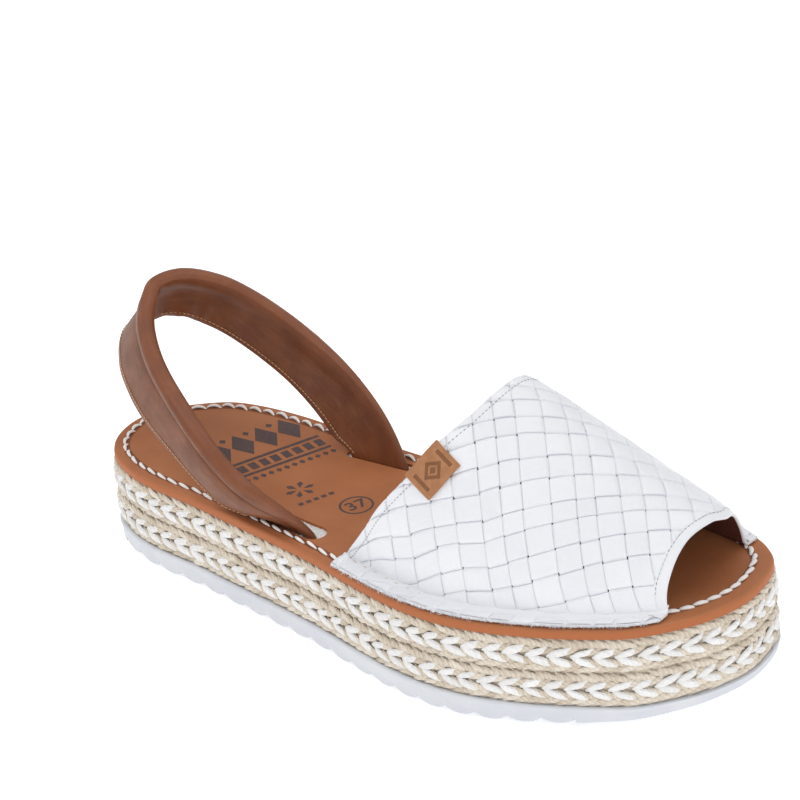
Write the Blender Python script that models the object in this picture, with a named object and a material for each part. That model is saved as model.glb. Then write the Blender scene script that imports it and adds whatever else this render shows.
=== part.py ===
"""A woman's platform avarca sandal, right foot, EU 37, standing empty on its sole.

Metres, +Z up, +X towards the toe, the outer (lateral) side at -Y.  From the floor up:
a white scalloped outsole, a foam midsole wrapped in two jute braids, a leather footbed
with a slot at each side, a peep-toe vamp of woven strips that closes over the forefoot,
and a heel strap whose two ends pass through the slots into the midsole.
"""
import math

import bmesh
import bpy
import numpy as np

# Footbed: its outline, slope and leather.
FOOTBED_LENGTH = 0.2508
BALL_HALF_WIDTH = 0.0509
FOOTBED_THICKNESS = 0.003
FOOTBED_ROUNDING = 0.0007

# Platform, from the floor up.
OUTSOLE_THICKNESS = 0.0082
OUTSOLE_OVERHANG = 0.0008
OUTSOLE_TUCK = 0.0007
TOE_SPRING = 0.0045
SCALLOP_PITCH = 0.0107
SCALLOP_DEPTH = 0.0023
SCALLOP_REACH = 0.0135
SCALLOP_REACH_LIMIT = 0.7  # share of half the sole's width
WAIST_TUCK = 0.4  # share of the tuck at the middle of the outsole's wall
BAND_HEIGHT_HEEL = 0.0234
BAND_HEIGHT_TOE = 0.0253
BRAID_THICKNESS = 0.0034
BRAID_RELIEF = 0.0010
BRAID_PITCH = 0.00724
BRAID_SWELL = 0.0007
FIT_GAP = 0.0003

# Vamp: one woven wall, turned outwards into a stitched flange at its foot.
VAMP_WALL = 0.0021
VAMP_INSET = 0.0070
VAMP_CREST = 0.0570
FLANGE_THICKNESS = 0.0014
FLANGE_INSET_REAR = 0.0003
FLANGE_INSET_TOE = 0.0020
WEAVE_RELIEF = 0.0009
WEAVE_CELL = 0.0121
CELL_FLAT = 0.80  # share of a woven cell that lies at full height

# Heel strap: a flat band with a padded upper edge.
STRAP_WIDTH = 0.0228
STRAP_THICKNESS = 0.0024
STRAP_ROLL = 0.0050
STRAP_RISE = 0.0500
STRAP_FADE_START = 0.08  # share of the band at each end that has no padded edge
STRAP_FADE = 0.16  # share of the band over which the padded edge swells
SLOT_END_ROOM = 0.0021
POCKET_DEPTH = 0.0100

# Label: a leather tab folded over the vamp's topline.
LABEL_WIDTH = 0.0150
LABEL_LENGTH = 0.0126
LABEL_FLAP = 0.0060
LABEL_THICKNESS = 0.0010
LABEL_CLEARANCE = 0.0006
LABEL_PLACE = 0.240  # share of the way over the foot
LABEL_SLANT = -0.27  # how far it leans outwards for each metre into the vamp
LABEL_STATIONS = 5

# The footbed's outline.  along: share of its length; lateral and medial: shares of the
# ball's half width, measured from the line through the back of the heel.
OUTLINE_COLUMNS = ("along", "lateral", "medial")
OUTLINE = (
    (0.0000, 0.000, 0.000),
    (0.0048, -0.157, 0.147),
    (0.0159, -0.275, 0.255),
    (0.0391, -0.401, 0.377),
    (0.0845, -0.515, 0.546),
    (0.1308, -0.574, 0.609),
    (0.2089, -0.615, 0.633),
    (0.2895, -0.678, 0.609),
    (0.3688, -0.739, 0.597),
    (0.4482, -0.807, 0.595),
    (0.5307, -0.906, 0.615),
    (0.6085, -0.982, 0.672),
    (0.6758, -1.000, 0.752),
    (0.7337, -0.961, 0.811),
    (0.7851, -0.884, 0.853),
    (0.8333, -0.790, 0.862),
    (0.8788, -0.676, 0.849),
    (0.9211, -0.544, 0.804),
    (0.9549, -0.354, 0.725),
    (0.9833, -0.126, 0.585),
    (1.0000, 0.193, 0.193),
)

# The vamp's crest.  along: share of the footbed's length; height: share of VAMP_CREST
# above the footbed.
CREST_COLUMNS = ("along", "height")
CREST = ((0.48, 1.215), (0.60, 1.108), (0.68, 0.998), (0.76, 0.803),
         (0.84, 0.596), (0.92, 0.441), (1.00, 0.321))
CREST_ACROSS = 0.119
CREST_DRIFT = 0.485
CREST_CENTRE = 0.76
OUTER_FULLNESS = 2.15  # 2 makes the section's outer half an ellipse, more is boxier
INNER_FULLNESS = 1.86

# The vamp's two open edges.  round: share of the way over the foot, lateral to medial;
# rear and front: shares of the footbed's length.
OPENING_COLUMNS = ("round", "rear", "front")
OPENING = (
    (0.00, 0.494, 0.945), (0.05, 0.531, 0.943), (0.11, 0.564, 0.942),
    (0.20, 0.611, 0.942), (0.29, 0.640, 0.942), (0.37, 0.660, 0.943),
    (0.49, 0.668, 0.949), (0.60, 0.667, 0.954), (0.71, 0.644, 0.944),
    (0.82, 0.595, 0.934), (0.93, 0.532, 0.933), (1.00, 0.492, 0.936),
)

# The strap's lower edge, outer slot round the heel to the inner slot.  along: share of
# the footbed's length; across: share of the ball's half width; rise: share of
# STRAP_RISE above the footbed; to_x, to_y, to_z: the way across the band to its upper
# edge; belly: how far the band bows outwards, as a share of its width.
STRAP = (
    (0.298, -0.597, 0.024, 15.6, -6.8, 13.9, 0.12),
    (0.270, -0.617, 0.048, 13.0, -5.4, 18.1, 0.12),
    (0.232, -0.633, 0.178, 12.5, -3.9, 18.8, 0.08),
    (0.192, -0.609, 0.295, 9.3, -0.8, 20.9, 0.05),
    (0.130, -0.515, 0.417, 8.7, 2.8, 21.0, 0.03),
    (0.082, -0.389, 0.500, 9.8, 4.3, 20.2, 0.03),
    (0.034, -0.206, 0.588, 12.2, 4.5, 18.9, 0.03),
    (0.002, 0.035, 0.675, 15.5, -0.6, 16.9, 0.03),
    (0.013, 0.270, 0.708, 10.4, -7.0, 19.1, 0.03),
    (0.038, 0.387, 0.702, 8.8, -5.4, 20.6, 0.03),
    (0.069, 0.466, 0.640, 10.9, -1.2, 20.1, 0.03),
    (0.111, 0.538, 0.522, 11.5, 0.0, 19.9, 0.03),
    (0.193, 0.562, 0.303, 9.8, 1.4, 20.6, 0.03),
    (0.274, 0.452, 0.114, 11.6, 4.7, 19.2, 0.05),
)

# Across the band, one turn of its section.  across: share from lower to upper edge;
# out: share of half the band's thickness; roll: share of the padded edge's thickness.
BAND = (
    (0.00, 0.45, 0.00), (0.05, 1.00, 0.00), (0.64, 1.00, 0.00), (0.73, 0.70, 0.00),
    (0.84, 1.00, 0.48), (0.93, 1.00, 0.40), (1.00, 0.10, 0.12), (0.96, -1.00, -0.20),
    (0.80, -1.00, -0.24), (0.62, -1.00, 0.00), (0.05, -1.00, 0.00), (0.00, -0.45, 0.00),
)

# The slots through the footbed.  along and across: the slot's middle, as in OUTLINE;
# turn: degrees from the length; side: which way is outwards; width; stand: how far
# outwards from the slot's middle the strap stands in it.
SLOTS = {"outer": (0.381, -0.550, -6.0, -1.0, 0.0085, 0.0020),
         "inner": (0.375, 0.393, 4.0, 1.0, 0.0044, -0.0004)}

# One scallop along the sole's lower edge.  along: share of the pitch; lift: share of
# the depth.
SCALLOP_COLUMNS = ("along", "lift")
SCALLOP = ((0.00, 1.00), (0.14, 0.50), (0.38, 0.08), (0.56, 0.00), (0.84, 0.20))
SCALLOP_FIRST = 0.045
SCALLOP_LAST = 0.86
SPRING_START = 0.68
SPRING_POWER = 1.6

# Braid rows from the bottom up.  height: share of one braid; swell: share of
# BRAID_SWELL; sweep: how far the limb has run along, as a share of the pitch; relief:
# share of BRAID_RELIEF.
BRAID = ((0.00, -0.60, 0.00, 0.40), (0.27, 0.70, 0.80, 1.00), (0.50, 0.30, 0.00, 0.90),
         (0.73, 0.70, 0.80, 1.00), (1.00, -0.60, 0.00, 0.40))

# How finely each shape is drawn.
CURVE_STEPS = 24
OUTLINE_POINTS = 1600
SOLE_COLUMNS_AT_END = 9
SOLE_END_CROWDING = 1.2
LIMB_POINTS = 2
FOOTBED_POINTS = 120
MIDSOLE_POINTS = 88
STRAP_STATIONS = 62
SLOT_END_STEPS = 6
SURFACE_STEP = 0.02  # share of the vamp over which its slope is measured
GIRTH_STEPS = 41
SHARP_ANGLE = 35.0
NUDGE = 1e-4

# Colour and roughness of each material.
FINISHES = {
    "outsole": ((0.78, 0.79, 0.82, 1.0), 0.55),
    "midsole": ((0.80, 0.79, 0.76, 1.0), 0.80),
    "jute_braid": ((0.56, 0.44, 0.28, 1.0), 0.90),
    "footbed": ((0.47, 0.17, 0.06, 1.0), 0.50),
    "vamp": ((0.84, 0.85, 0.88, 1.0), 0.35),
    "heel_strap": ((0.19, 0.055, 0.018, 1.0), 0.40),
    "label_tab": ((0.52, 0.24, 0.10, 1.0), 0.60),
}


def clear_scene():
    for thing in list(bpy.data.objects):
        bpy.data.objects.remove(thing, do_unlink=True)


def column(table, names, name):
    """One named column of a table."""
    return np.array([row[names.index(name)] for row in table])


def smooth_path(points, count, closed=False):
    """`count` points, evenly spaced, on a soft curve through the given points."""
    points = np.asarray(points, float)
    if closed:
        padded = np.vstack([points[-1], points, points[:2]])
    else:
        padded = np.vstack([2 * points[0] - points[1], points,
                            2 * points[-1] - points[-2]])
    knots = np.concatenate([[0], np.cumsum(
        np.sqrt(np.linalg.norm(np.diff(padded[:, :3], axis=0), axis=1)))])
    fine = []
    for k in range(1, len(padded) - 2):
        t0, t1, t2, t3 = knots[k - 1:k + 3]
        p0, p1, p2, p3 = padded[k - 1:k + 3]
        for t in np.linspace(t1, t2, CURVE_STEPS, endpoint=False):
            a1 = ((t1 - t) * p0 + (t - t0) * p1) / (t1 - t0)
            a2 = ((t2 - t) * p1 + (t - t1) * p2) / (t2 - t1)
            a3 = ((t3 - t) * p2 + (t - t2) * p3) / (t3 - t2)
            b1 = ((t2 - t) * a1 + (t - t0) * a2) / (t2 - t0)
            b2 = ((t3 - t) * a2 + (t - t1) * a3) / (t3 - t1)
            fine.append(((t2 - t) * b1 + (t - t1) * b2) / (t2 - t1))
    fine.append(fine[0] if closed else points[-1])
    fine = np.array(fine)
    run = np.concatenate([[0], np.cumsum(
        np.linalg.norm(np.diff(fine[:, :3], axis=0), axis=1))])
    at = np.linspace(0, run[-1], count + 1)[:-1] if closed else \
        np.linspace(0, run[-1], count)
    return np.stack([np.interp(at, run, fine[:, k]) for k in range(fine.shape[1])], 1)


def footbed_outline():
    """The footbed's outline, back of the heel, outer side, toe, inner side."""
    along = column(OUTLINE, OUTLINE_COLUMNS, "along") * FOOTBED_LENGTH
    lateral = column(OUTLINE, OUTLINE_COLUMNS, "lateral") * BALL_HALF_WIDTH
    medial = column(OUTLINE, OUTLINE_COLUMNS, "medial") * BALL_HALF_WIDTH
    outer = np.stack([along, lateral], 1)
    inner = np.stack([along, medial], 1)[::-1][1:-1]
    return smooth_path(np.vstack([outer, inner]), OUTLINE_POINTS, closed=True)


EDGE = footbed_outline()


def outline(offset, count):
    """The outline moved outwards by `offset`, as `count` even points."""
    ahead = np.roll(EDGE, -1, axis=0) - np.roll(EDGE, 1, axis=0)
    ahead /= np.linalg.norm(ahead, axis=1)[:, None]
    moved = EDGE + offset * np.stack([ahead[:, 1], -ahead[:, 0]], 1)
    loop = np.vstack([moved, moved[:1]])
    run = np.concatenate([[0], np.cumsum(np.linalg.norm(np.diff(loop, axis=0), axis=1))])
    at = np.linspace(0, run[-1], count + 1)[:-1]
    return np.stack([np.interp(at, run, loop[:, k]) for k in (0, 1)], 1)


def edge_y(x, side, offset=0.0):
    """The outline's y at x: side -1 is lateral, 1 is medial."""
    loop = outline(offset, OUTLINE_POINTS)
    back, tip = loop[:, 0].argmin(), loop[:, 0].argmax()
    rolled = np.roll(loop, -back, axis=0)
    split = (tip - back) % len(loop)
    half = rolled[:split + 1] if side < 0 else \
        np.vstack([rolled[split:], rolled[:1]])[::-1]
    return np.interp(x, half[:, 0], half[:, 1])


def footbed_under(x):
    """Height of the footbed's underside, on a plane that climbs towards the toe."""
    climb = (BAND_HEIGHT_TOE - BAND_HEIGHT_HEEL) * np.asarray(x) / FOOTBED_LENGTH
    return OUTSOLE_THICKNESS + BAND_HEIGHT_HEEL + climb


def footbed_top(x):
    return footbed_under(x) + FOOTBED_THICKNESS


class Mesh:
    """Collects points and faces, and shares a point that is given twice."""

    def __init__(self):
        self.points, self.faces, self.index = [], [], {}

    def point(self, place):
        key = tuple(round(float(c), 7) for c in place)
        if key not in self.index:
            self.index[key] = len(self.points)
            self.points.append(key)
        return self.index[key]

    def face(self, *places):
        corners = []
        for place in places:
            at = self.point(place)
            if at not in corners:
                corners.append(at)
        if len(corners) > 2:
            self.faces.append(corners)

    def strip(self, one, other, closed=True):
        """Faces between two runs of as many points."""
        count = len(one)
        for k in range(count if closed else count - 1):
            n = (k + 1) % count
            self.face(one[k], one[n], other[n], other[k])

    def build(self, name, material):
        mesh = bpy.data.meshes.new(name)
        mesh.from_pydata(self.points, [], self.faces)
        made = bmesh.new()
        made.from_mesh(mesh)
        bmesh.ops.recalc_face_normals(made, faces=made.faces)
        bmesh.ops.triangulate(made, faces=[f for f in made.faces if len(f.verts) > 3])
        made.to_mesh(mesh)
        made.free()
        thing = bpy.data.objects.new(name, mesh)
        bpy.context.collection.objects.link(thing)
        finish(thing, name, material)
        return thing


def finish(thing, name, material):
    made = bpy.data.materials.new(name)
    made.use_nodes = True
    shader = made.node_tree.nodes["Principled BSDF"]
    colour, roughness = FINISHES[material]
    shader.inputs["Base Color"].default_value = colour
    shader.inputs["Roughness"].default_value = roughness
    shader.inputs["Metallic"].default_value = 0.0
    thing.data.materials.append(made)
    thing.data.shade_smooth()
    thing.data.set_sharp_from_angle(angle=math.radians(SHARP_ANGLE))


def scallop_lift(x):
    """How far the sole's lower edge lifts off the floor, scallops only."""
    start = SCALLOP_FIRST * FOOTBED_LENGTH
    phase = ((x - start) / SCALLOP_PITCH) % 1.0
    shares = np.append(column(SCALLOP, SCALLOP_COLUMNS, "along"), 1.0)
    lifts = np.append(column(SCALLOP, SCALLOP_COLUMNS, "lift"), 1.0)
    return SCALLOP_DEPTH * np.interp(phase, shares, lifts)


def spring(x):
    share = np.clip((np.asarray(x) / FOOTBED_LENGTH - SPRING_START) / (1 - SPRING_START),
                    0, None)
    return TOE_SPRING * share ** SPRING_POWER


def make_outsole():
    """Columns from heel to toe, each a loop across the sole."""
    start, end = SCALLOP_FIRST * FOOTBED_LENGTH, SCALLOP_LAST * FOOTBED_LENGTH
    pitches = int((end - start) / SCALLOP_PITCH)
    end = start + pitches * SCALLOP_PITCH
    shares = column(SCALLOP, SCALLOP_COLUMNS, "along")
    ribbed = [start + (k + s) * SCALLOP_PITCH for k in range(pitches) for s in shares]
    turn = (1 - np.cos(np.linspace(0, math.pi / 2, SOLE_COLUMNS_AT_END))) \
        ** SOLE_END_CROWDING
    rear, front = -OUTSOLE_OVERHANG, FOOTBED_LENGTH + OUTSOLE_OVERHANG
    heel = rear + turn * (start - rear)
    toe = (front - turn * (front - end))[::-1]
    stations = [float(x) for x in list(heel[:-1]) + ribbed + list(toe)]
    solid = Mesh()
    loops = []
    for x in stations:
        lo_out, hi_out = (float(edge_y(x, side, OUTSOLE_OVERHANG)) for side in (-1, 1))
        middle = (lo_out + hi_out) / 2
        half = (hi_out - lo_out) / 2
        if x in (stations[0], stations[-1]):
            half = 0.0
        tuck = min(OUTSOLE_TUCK, half / 2)
        reach = min(SCALLOP_REACH, half * SCALLOP_REACH_LIMIT)
        low = float(spring(x))
        inside = start <= x < end + NUDGE
        lift = float(scallop_lift(x)) if inside else 0.0
        waist = (low + lift + OUTSOLE_THICKNESS) / 2
        loops.append([
            (x, middle - half + tuck, low + lift),
            (x, middle - half + reach, low),
            (x, middle + half - reach, low),
            (x, middle + half - tuck, low + lift),
            (x, middle + half - tuck * WAIST_TUCK, waist),
            (x, middle + half, OUTSOLE_THICKNESS),
            (x, middle - half, OUTSOLE_THICKNESS),
            (x, middle - half + tuck * WAIST_TUCK, waist),
        ])
    for one, other in zip(loops, loops[1:]):
        solid.strip(one, other)
    return solid.build("outsole", "outsole")


def make_braid(name, lower_share, upper_share):
    """A braid round the platform: limbs that sweep forwards and back row by row."""
    length = np.linalg.norm(np.diff(np.vstack([EDGE, EDGE[:1]]), axis=0), axis=1).sum()
    limbs = int(round(length / BRAID_PITCH))
    count = limbs * LIMB_POINTS
    fine = outline(0.0, OUTLINE_POINTS)
    ahead = np.roll(fine, -1, axis=0) - np.roll(fine, 1, axis=0)
    ahead /= np.linalg.norm(ahead, axis=1)[:, None]
    out = np.stack([ahead[:, 1], -ahead[:, 0]], 1)

    def at(share, offset):
        spot = (share % 1.0) * OUTLINE_POINTS
        k = int(spot) % OUTLINE_POINTS
        n = (k + 1) % OUTLINE_POINTS
        part = spot - int(spot)
        place = fine[k] * (1 - part) + fine[n] * part
        way = out[k] * (1 - part) + out[n] * part
        return place + way * offset

    def height(x, share):
        base = OUTSOLE_THICKNESS
        band = footbed_under(x) - base
        low = base + band * lower_share + FIT_GAP * (1.0 if lower_share == 0 else 0.5)
        high = base + band * upper_share - FIT_GAP * (1.0 if upper_share == 1 else 0.5)
        return float(low + (high - low) * share)

    rows = []
    for tall, swell, sweep, relief in BRAID:
        ring = []
        for k in range(count):
            raised = BRAID_RELIEF * relief * (1.0 if k % LIMB_POINTS == 0 else -1.0) / 2
            share = (k + sweep * LIMB_POINTS) / count
            x, y = at(share, swell * BRAID_SWELL + raised - BRAID_RELIEF / 2)
            ring.append((x, y, height(x, tall)))
        rows.append(ring)
    for tall in (1.0, 0.0):
        ring = []
        for k in range(count):
            x, y = at(k / count, -BRAID_THICKNESS)
            ring.append((x, y, height(x, tall)))
        rows.append(ring)
    solid = Mesh()
    for one, other in zip(rows, rows[1:] + rows[:1]):
        solid.strip(one, other)
    return solid.build(name, "jute_braid")


def slot_frame(which):
    """A slot's middle, its direction, the way outwards, its width and the strap's stand."""
    along, across, turn, side, width, stand = SLOTS[which]
    angle = math.radians(turn)
    middle = np.array([along * FOOTBED_LENGTH, across * BALL_HALF_WIDTH])
    ahead = np.array([math.cos(angle), math.sin(angle)])
    out = np.array([-ahead[1], ahead[0]]) * side
    return middle, ahead, out, width, stand


def slot_cutter(which, low, high):
    """A round-ended block through which a strap end passes."""
    middle, ahead, _, width, _ = slot_frame(which)
    normal = np.array([-ahead[1], ahead[0]])
    radius = width / 2
    reach = STRAP_WIDTH / 2 + SLOT_END_ROOM - radius
    ring = []
    for end in (1, -1):
        for k in range(SLOT_END_STEPS + 1):
            a = -math.pi / 2 + math.pi * k / SLOT_END_STEPS
            ring.append(middle + end * (ahead * (reach + radius * math.cos(a))
                                        + normal * radius * math.sin(a)))
    solid = Mesh()
    lower = [(x, y, low) for x, y in ring]
    upper = [(x, y, high) for x, y in ring]
    solid.strip(lower, upper)
    solid.face(*lower)
    solid.face(*upper)
    return solid.build("cutter_" + which, "midsole")


def cut(thing, cutters):
    """Cuts the blocks out of a solid and keeps the result as its mesh."""
    for cutter in cutters:
        step = thing.modifiers.new("slot", "BOOLEAN")
        step.operation = "DIFFERENCE"
        step.solver = "EXACT"
        step.object = cutter
    view = bpy.context.evaluated_depsgraph_get()
    made = bpy.data.meshes.new_from_object(thing.evaluated_get(view))
    thing.modifiers.clear()
    thing.data = made
    for cutter in cutters:
        bpy.data.objects.remove(cutter, do_unlink=True)
    return thing


def make_plate(name, rings):
    """A plate from stacked rings of (offset, height function, count of points)."""
    solid = Mesh()
    loops = []
    for offset, height, count in rings:
        loops.append([(x, y, float(height(x))) for x, y in outline(offset, count)])
    for one, other in zip(loops, loops[1:]):
        solid.strip(one, other)
    solid.face(*loops[0])
    solid.face(*loops[-1])
    return solid.build(name, name)


def pocket_floor():
    """Height of the floor of the pockets that the strap's ends stand in."""
    return OUTSOLE_THICKNESS + BAND_HEIGHT_HEEL - POCKET_DEPTH


def make_midsole():
    inset = -(BRAID_THICKNESS + FIT_GAP)
    body = make_plate("midsole", (
        (inset, lambda x: OUTSOLE_THICKNESS + FIT_GAP, MIDSOLE_POINTS),
        (inset, lambda x: footbed_under(x) - FIT_GAP, MIDSOLE_POINTS),
    ))
    top = OUTSOLE_THICKNESS + BAND_HEIGHT_TOE + FOOTBED_THICKNESS
    return cut(body, [slot_cutter(which, pocket_floor(), top) for which in SLOTS])


def make_footbed():
    body = make_plate("footbed", (
        (0.0, footbed_under, FOOTBED_POINTS),
        (0.0, lambda x: footbed_top(x) - FOOTBED_ROUNDING, FOOTBED_POINTS),
        (-FOOTBED_ROUNDING, footbed_top, FOOTBED_POINTS),
    ))
    low = OUTSOLE_THICKNESS + BAND_HEIGHT_HEEL - FOOTBED_THICKNESS
    high = OUTSOLE_THICKNESS + BAND_HEIGHT_TOE + 3 * FOOTBED_THICKNESS
    return cut(body, [slot_cutter(which, low, high) for which in SLOTS])


def strap_rows():
    """The band's stations: lower edge, way across to the upper edge, and belly."""
    def end_rows(which):
        middle, ahead, out, _, stand = slot_frame(which)
        spot = middle + out * stand - ahead * STRAP_WIDTH / 2
        top = float(footbed_top(spot[0]))
        floor = pocket_floor() + FIT_GAP
        return [(spot[0], spot[1], z, ahead[0], ahead[1], 0.0, 0.0)
                for z in (floor, (floor + top) / 2, top)]

    rows = end_rows("outer")
    for along, across, rise, to_x, to_y, to_z, belly in STRAP:
        x = along * FOOTBED_LENGTH
        way = np.array([to_x, to_y, to_z])
        way = way / np.linalg.norm(way)
        z = float(footbed_top(x)) + rise * STRAP_RISE
        rows.append((x, across * BALL_HALF_WIDTH, z, *way, belly))
    rows += end_rows("inner")[::-1]
    return rows


def strap_stations(count):
    """Even stations along the band's middle line."""
    rows = np.array(strap_rows())
    middle = rows[:, :3] + rows[:, 3:6] * STRAP_WIDTH / 2
    path = smooth_path(np.hstack([middle, rows[:, 3:]]), count)
    way = path[:, 3:6] / np.linalg.norm(path[:, 3:6], axis=1)[:, None]
    ahead = np.gradient(path[:, :3], axis=0)
    out = np.cross(way, ahead)
    out /= np.linalg.norm(out, axis=1)[:, None]
    return path[:, :3], way, out, path[:, 6]


def make_heel_strap():
    middle, way, out, belly = strap_stations(STRAP_STATIONS)
    run = np.linspace(0, 1, STRAP_STATIONS)
    plump = np.clip((np.minimum(run, 1 - run) - STRAP_FADE_START) / STRAP_FADE, 0, 1)
    solid = Mesh()
    loops = []
    for k in range(STRAP_STATIONS):
        loop = []
        for across, side, roll in BAND:
            bow = belly[k] * STRAP_WIDTH * (1 - (2 * across - 1) ** 2)
            lift = side * STRAP_THICKNESS / 2 + roll * STRAP_ROLL * plump[k] + bow
            loop.append(tuple(middle[k] + way[k] * (across - 0.5) * STRAP_WIDTH
                              + out[k] * lift))
        loops.append(loop)
    for one, other in zip(loops, loops[1:]):
        solid.strip(one, other)
    solid.face(*loops[0])
    solid.face(*loops[-1])
    return solid.build("heel_strap", "heel_strap")


def vamp_surface(u, v):
    """The vamp's outer skin: u from topline to toe opening, v over the foot."""
    rounds = column(OPENING, OPENING_COLUMNS, "round")
    rear = np.interp(v, rounds, column(OPENING, OPENING_COLUMNS, "rear"))
    front = np.interp(v, rounds, column(OPENING, OPENING_COLUMNS, "front"))
    x = (rear * (1 - u) + front * u) * FOOTBED_LENGTH
    share = x / FOOTBED_LENGTH
    crest = VAMP_CREST * np.interp(share, column(CREST, CREST_COLUMNS, "along"),
                                   column(CREST, CREST_COLUMNS, "height"))
    ridge = (CREST_ACROSS + CREST_DRIFT * (share - CREST_CENTRE)) * BALL_HALF_WIDTH
    outer = ridge - (edge_y(x, -1) + VAMP_INSET)
    inner = (edge_y(x, 1) - VAMP_INSET) - ridge
    angle = math.pi * np.clip(v, 0, 1)
    cosine, sine = math.cos(angle), math.sin(angle)
    power = 2 / (OUTER_FULLNESS if cosine > 0 else INNER_FULLNESS)
    sweep = abs(cosine) ** power
    y = ridge - outer * sweep if cosine > 0 else ridge + inner * sweep
    z = footbed_top(x) + FIT_GAP + crest * abs(sine) ** power
    return np.array([float(x), float(y), float(z)])


def vamp_out(u, v):
    """The way out of the vamp's skin."""
    low, high = max(v - SURFACE_STEP, 0.0), min(v + SURFACE_STEP, 1.0)
    round_way = vamp_surface(u, high) - vamp_surface(u, low)
    along_way = vamp_surface(u + SURFACE_STEP, v) - vamp_surface(u - SURFACE_STEP, v)
    out = np.cross(along_way, round_way)
    return out / np.linalg.norm(out)


def vamp_point(u, v, offset):
    return vamp_surface(u, v) + vamp_out(u, v) * offset


def vamp_counts():
    """Half cells along and round the vamp, both even."""
    along = np.linalg.norm(vamp_surface(0, 0.5) - vamp_surface(1, 0.5))
    ring = [vamp_surface(0.5, v) for v in np.linspace(0, 1, GIRTH_STEPS)]
    girth = sum(np.linalg.norm(b - a) for a, b in zip(ring, ring[1:]))
    return 2 * int(round(along / WEAVE_CELL)), 2 * int(round(girth / WEAVE_CELL))


def make_vamp():
    """Strips woven on the bias: each cell is raised, the lines between lie low."""
    across, girth = vamp_counts()
    low, high = -WEAVE_RELIEF / 2, WEAVE_RELIEF / 2

    def skin(i, j):
        u, v = i / across, j / girth
        point = vamp_point(u, v, low)
        base = float(footbed_top(point[0])) + FIT_GAP
        if j in (0, girth):
            point[2] = base + FLANGE_THICKNESS
        return point

    def lining(i, j):
        u, v = i / across, j / girth
        point = vamp_point(u, v, low - VAMP_WALL)
        base = float(footbed_top(point[0])) + FIT_GAP
        point[2] = base if j in (0, girth) else max(point[2], base + FLANGE_THICKNESS)
        return point

    def rim(i, side, top):
        u, v = i / across, (0.0 if side < 0 else 1.0)
        x = vamp_surface(u, v)[0]
        inset = FLANGE_INSET_REAR + (FLANGE_INSET_TOE - FLANGE_INSET_REAR) * u
        z = float(footbed_top(x)) + FIT_GAP + (FLANGE_THICKNESS if top else 0.0)
        return np.array([x, float(edge_y(x, side)) - side * inset, z])

    outer = {(i, j): skin(i, j) for i in range(across + 1) for j in range(girth + 1)}
    inner = {(i, j): lining(i, j) for i in range(across + 1) for j in range(girth + 1)}
    solid = Mesh()
    for i in range(across + 1):
        for j in range(girth + 1):
            if (i + j) % 2 == 0:
                continue
            ring = [(i - 1, j), (i, j - 1), (i + 1, j), (i, j + 1)]
            kept = [c for c in ring if c in outer]
            if len(kept) < 4:
                lost = next(k for k, c in enumerate(ring) if c not in outer)
                order = ring[:lost] + [(i, j)] + ring[lost + 1:]
                solid.face(*(outer[c] for c in order))
                continue
            raised = []
            for ci, cj in ring:
                u = (i + (ci - i) * CELL_FLAT) / across
                v = (j + (cj - j) * CELL_FLAT) / girth
                raised.append(vamp_point(u, v, high))
            solid.face(*raised)
            for k in range(4):
                n = (k + 1) % 4
                solid.face(outer[ring[k]], outer[ring[n]], raised[n], raised[k])
    for i in range(across):
        for j in range(girth):
            solid.face(inner[i, j], inner[i + 1, j], inner[i + 1, j + 1],
                       inner[i, j + 1])
        for side, j in ((-1, 0), (1, girth)):
            top, under = [rim(k, side, True) for k in (i, i + 1)], \
                [rim(k, side, False) for k in (i, i + 1)]
            solid.face(outer[i, j], outer[i + 1, j], top[1], top[0])
            solid.face(top[0], top[1], under[1], under[0])
            solid.face(under[0], under[1], inner[i + 1, j], inner[i, j])
    for i in (0, across):
        for j in range(girth):
            solid.face(outer[i, j], outer[i, j + 1], inner[i, j + 1], inner[i, j])
        for side, j in ((-1, 0), (1, girth)):
            solid.face(outer[i, j], rim(i, side, True), rim(i, side, False), inner[i, j])
    return solid.build("vamp", "vamp")


def make_label_tab():
    """A strip bent over the topline: long outside, short inside."""
    along = np.linalg.norm(vamp_surface(1, LABEL_PLACE) - vamp_surface(0, LABEL_PLACE))
    near_topline, aside = 0.05, 0.05
    ring = np.linalg.norm(vamp_surface(near_topline, LABEL_PLACE + aside)
                          - vamp_surface(near_topline, LABEL_PLACE - aside)) / (2 * aside)
    stations = LABEL_PLACE + np.linspace(-0.5, 0.5, LABEL_STATIONS) * LABEL_WIDTH / ring
    outside = WEAVE_RELIEF / 2 + LABEL_CLEARANCE
    inside = -WEAVE_RELIEF / 2 - VAMP_WALL - LABEL_CLEARANCE
    thick = LABEL_THICKNESS
    clear = LABEL_CLEARANCE / along
    fold = (LABEL_CLEARANCE + thick) / along
    near = [(LABEL_LENGTH / along, outside), (0.5 * LABEL_LENGTH / along, outside),
            (-clear, outside), (-clear, inside), (LABEL_FLAP / along, inside)]
    far = [(LABEL_LENGTH / along, outside + thick),
           (0.5 * LABEL_LENGTH / along, outside + thick), (-fold, outside + thick),
           (-fold, inside - thick), (LABEL_FLAP / along, inside - thick)]
    solid = Mesh()
    loops = [[vamp_point(u, v + LABEL_SLANT * u * along / ring, off)
              for u, off in near + far[::-1]] for v in stations]
    for one, other in zip(loops, loops[1:]):
        solid.strip(one, other)
    for loop in (loops[0], loops[-1]):
        for k in range(len(near) - 1):
            solid.face(loop[k], loop[k + 1], loop[-2 - k], loop[-1 - k])
    return solid.build("label_tab", "label_tab")


def centre_on_floor(things):
    """Moves everything so that the box's middle stands over the origin."""
    places = np.array([v.co[:] for t in things for v in t.data.vertices])
    middle = (places.min(axis=0) + places.max(axis=0)) / 2
    for thing in things:
        for vertex in thing.data.vertices:
            vertex.co.x -= middle[0]
            vertex.co.y -= middle[1]


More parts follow.
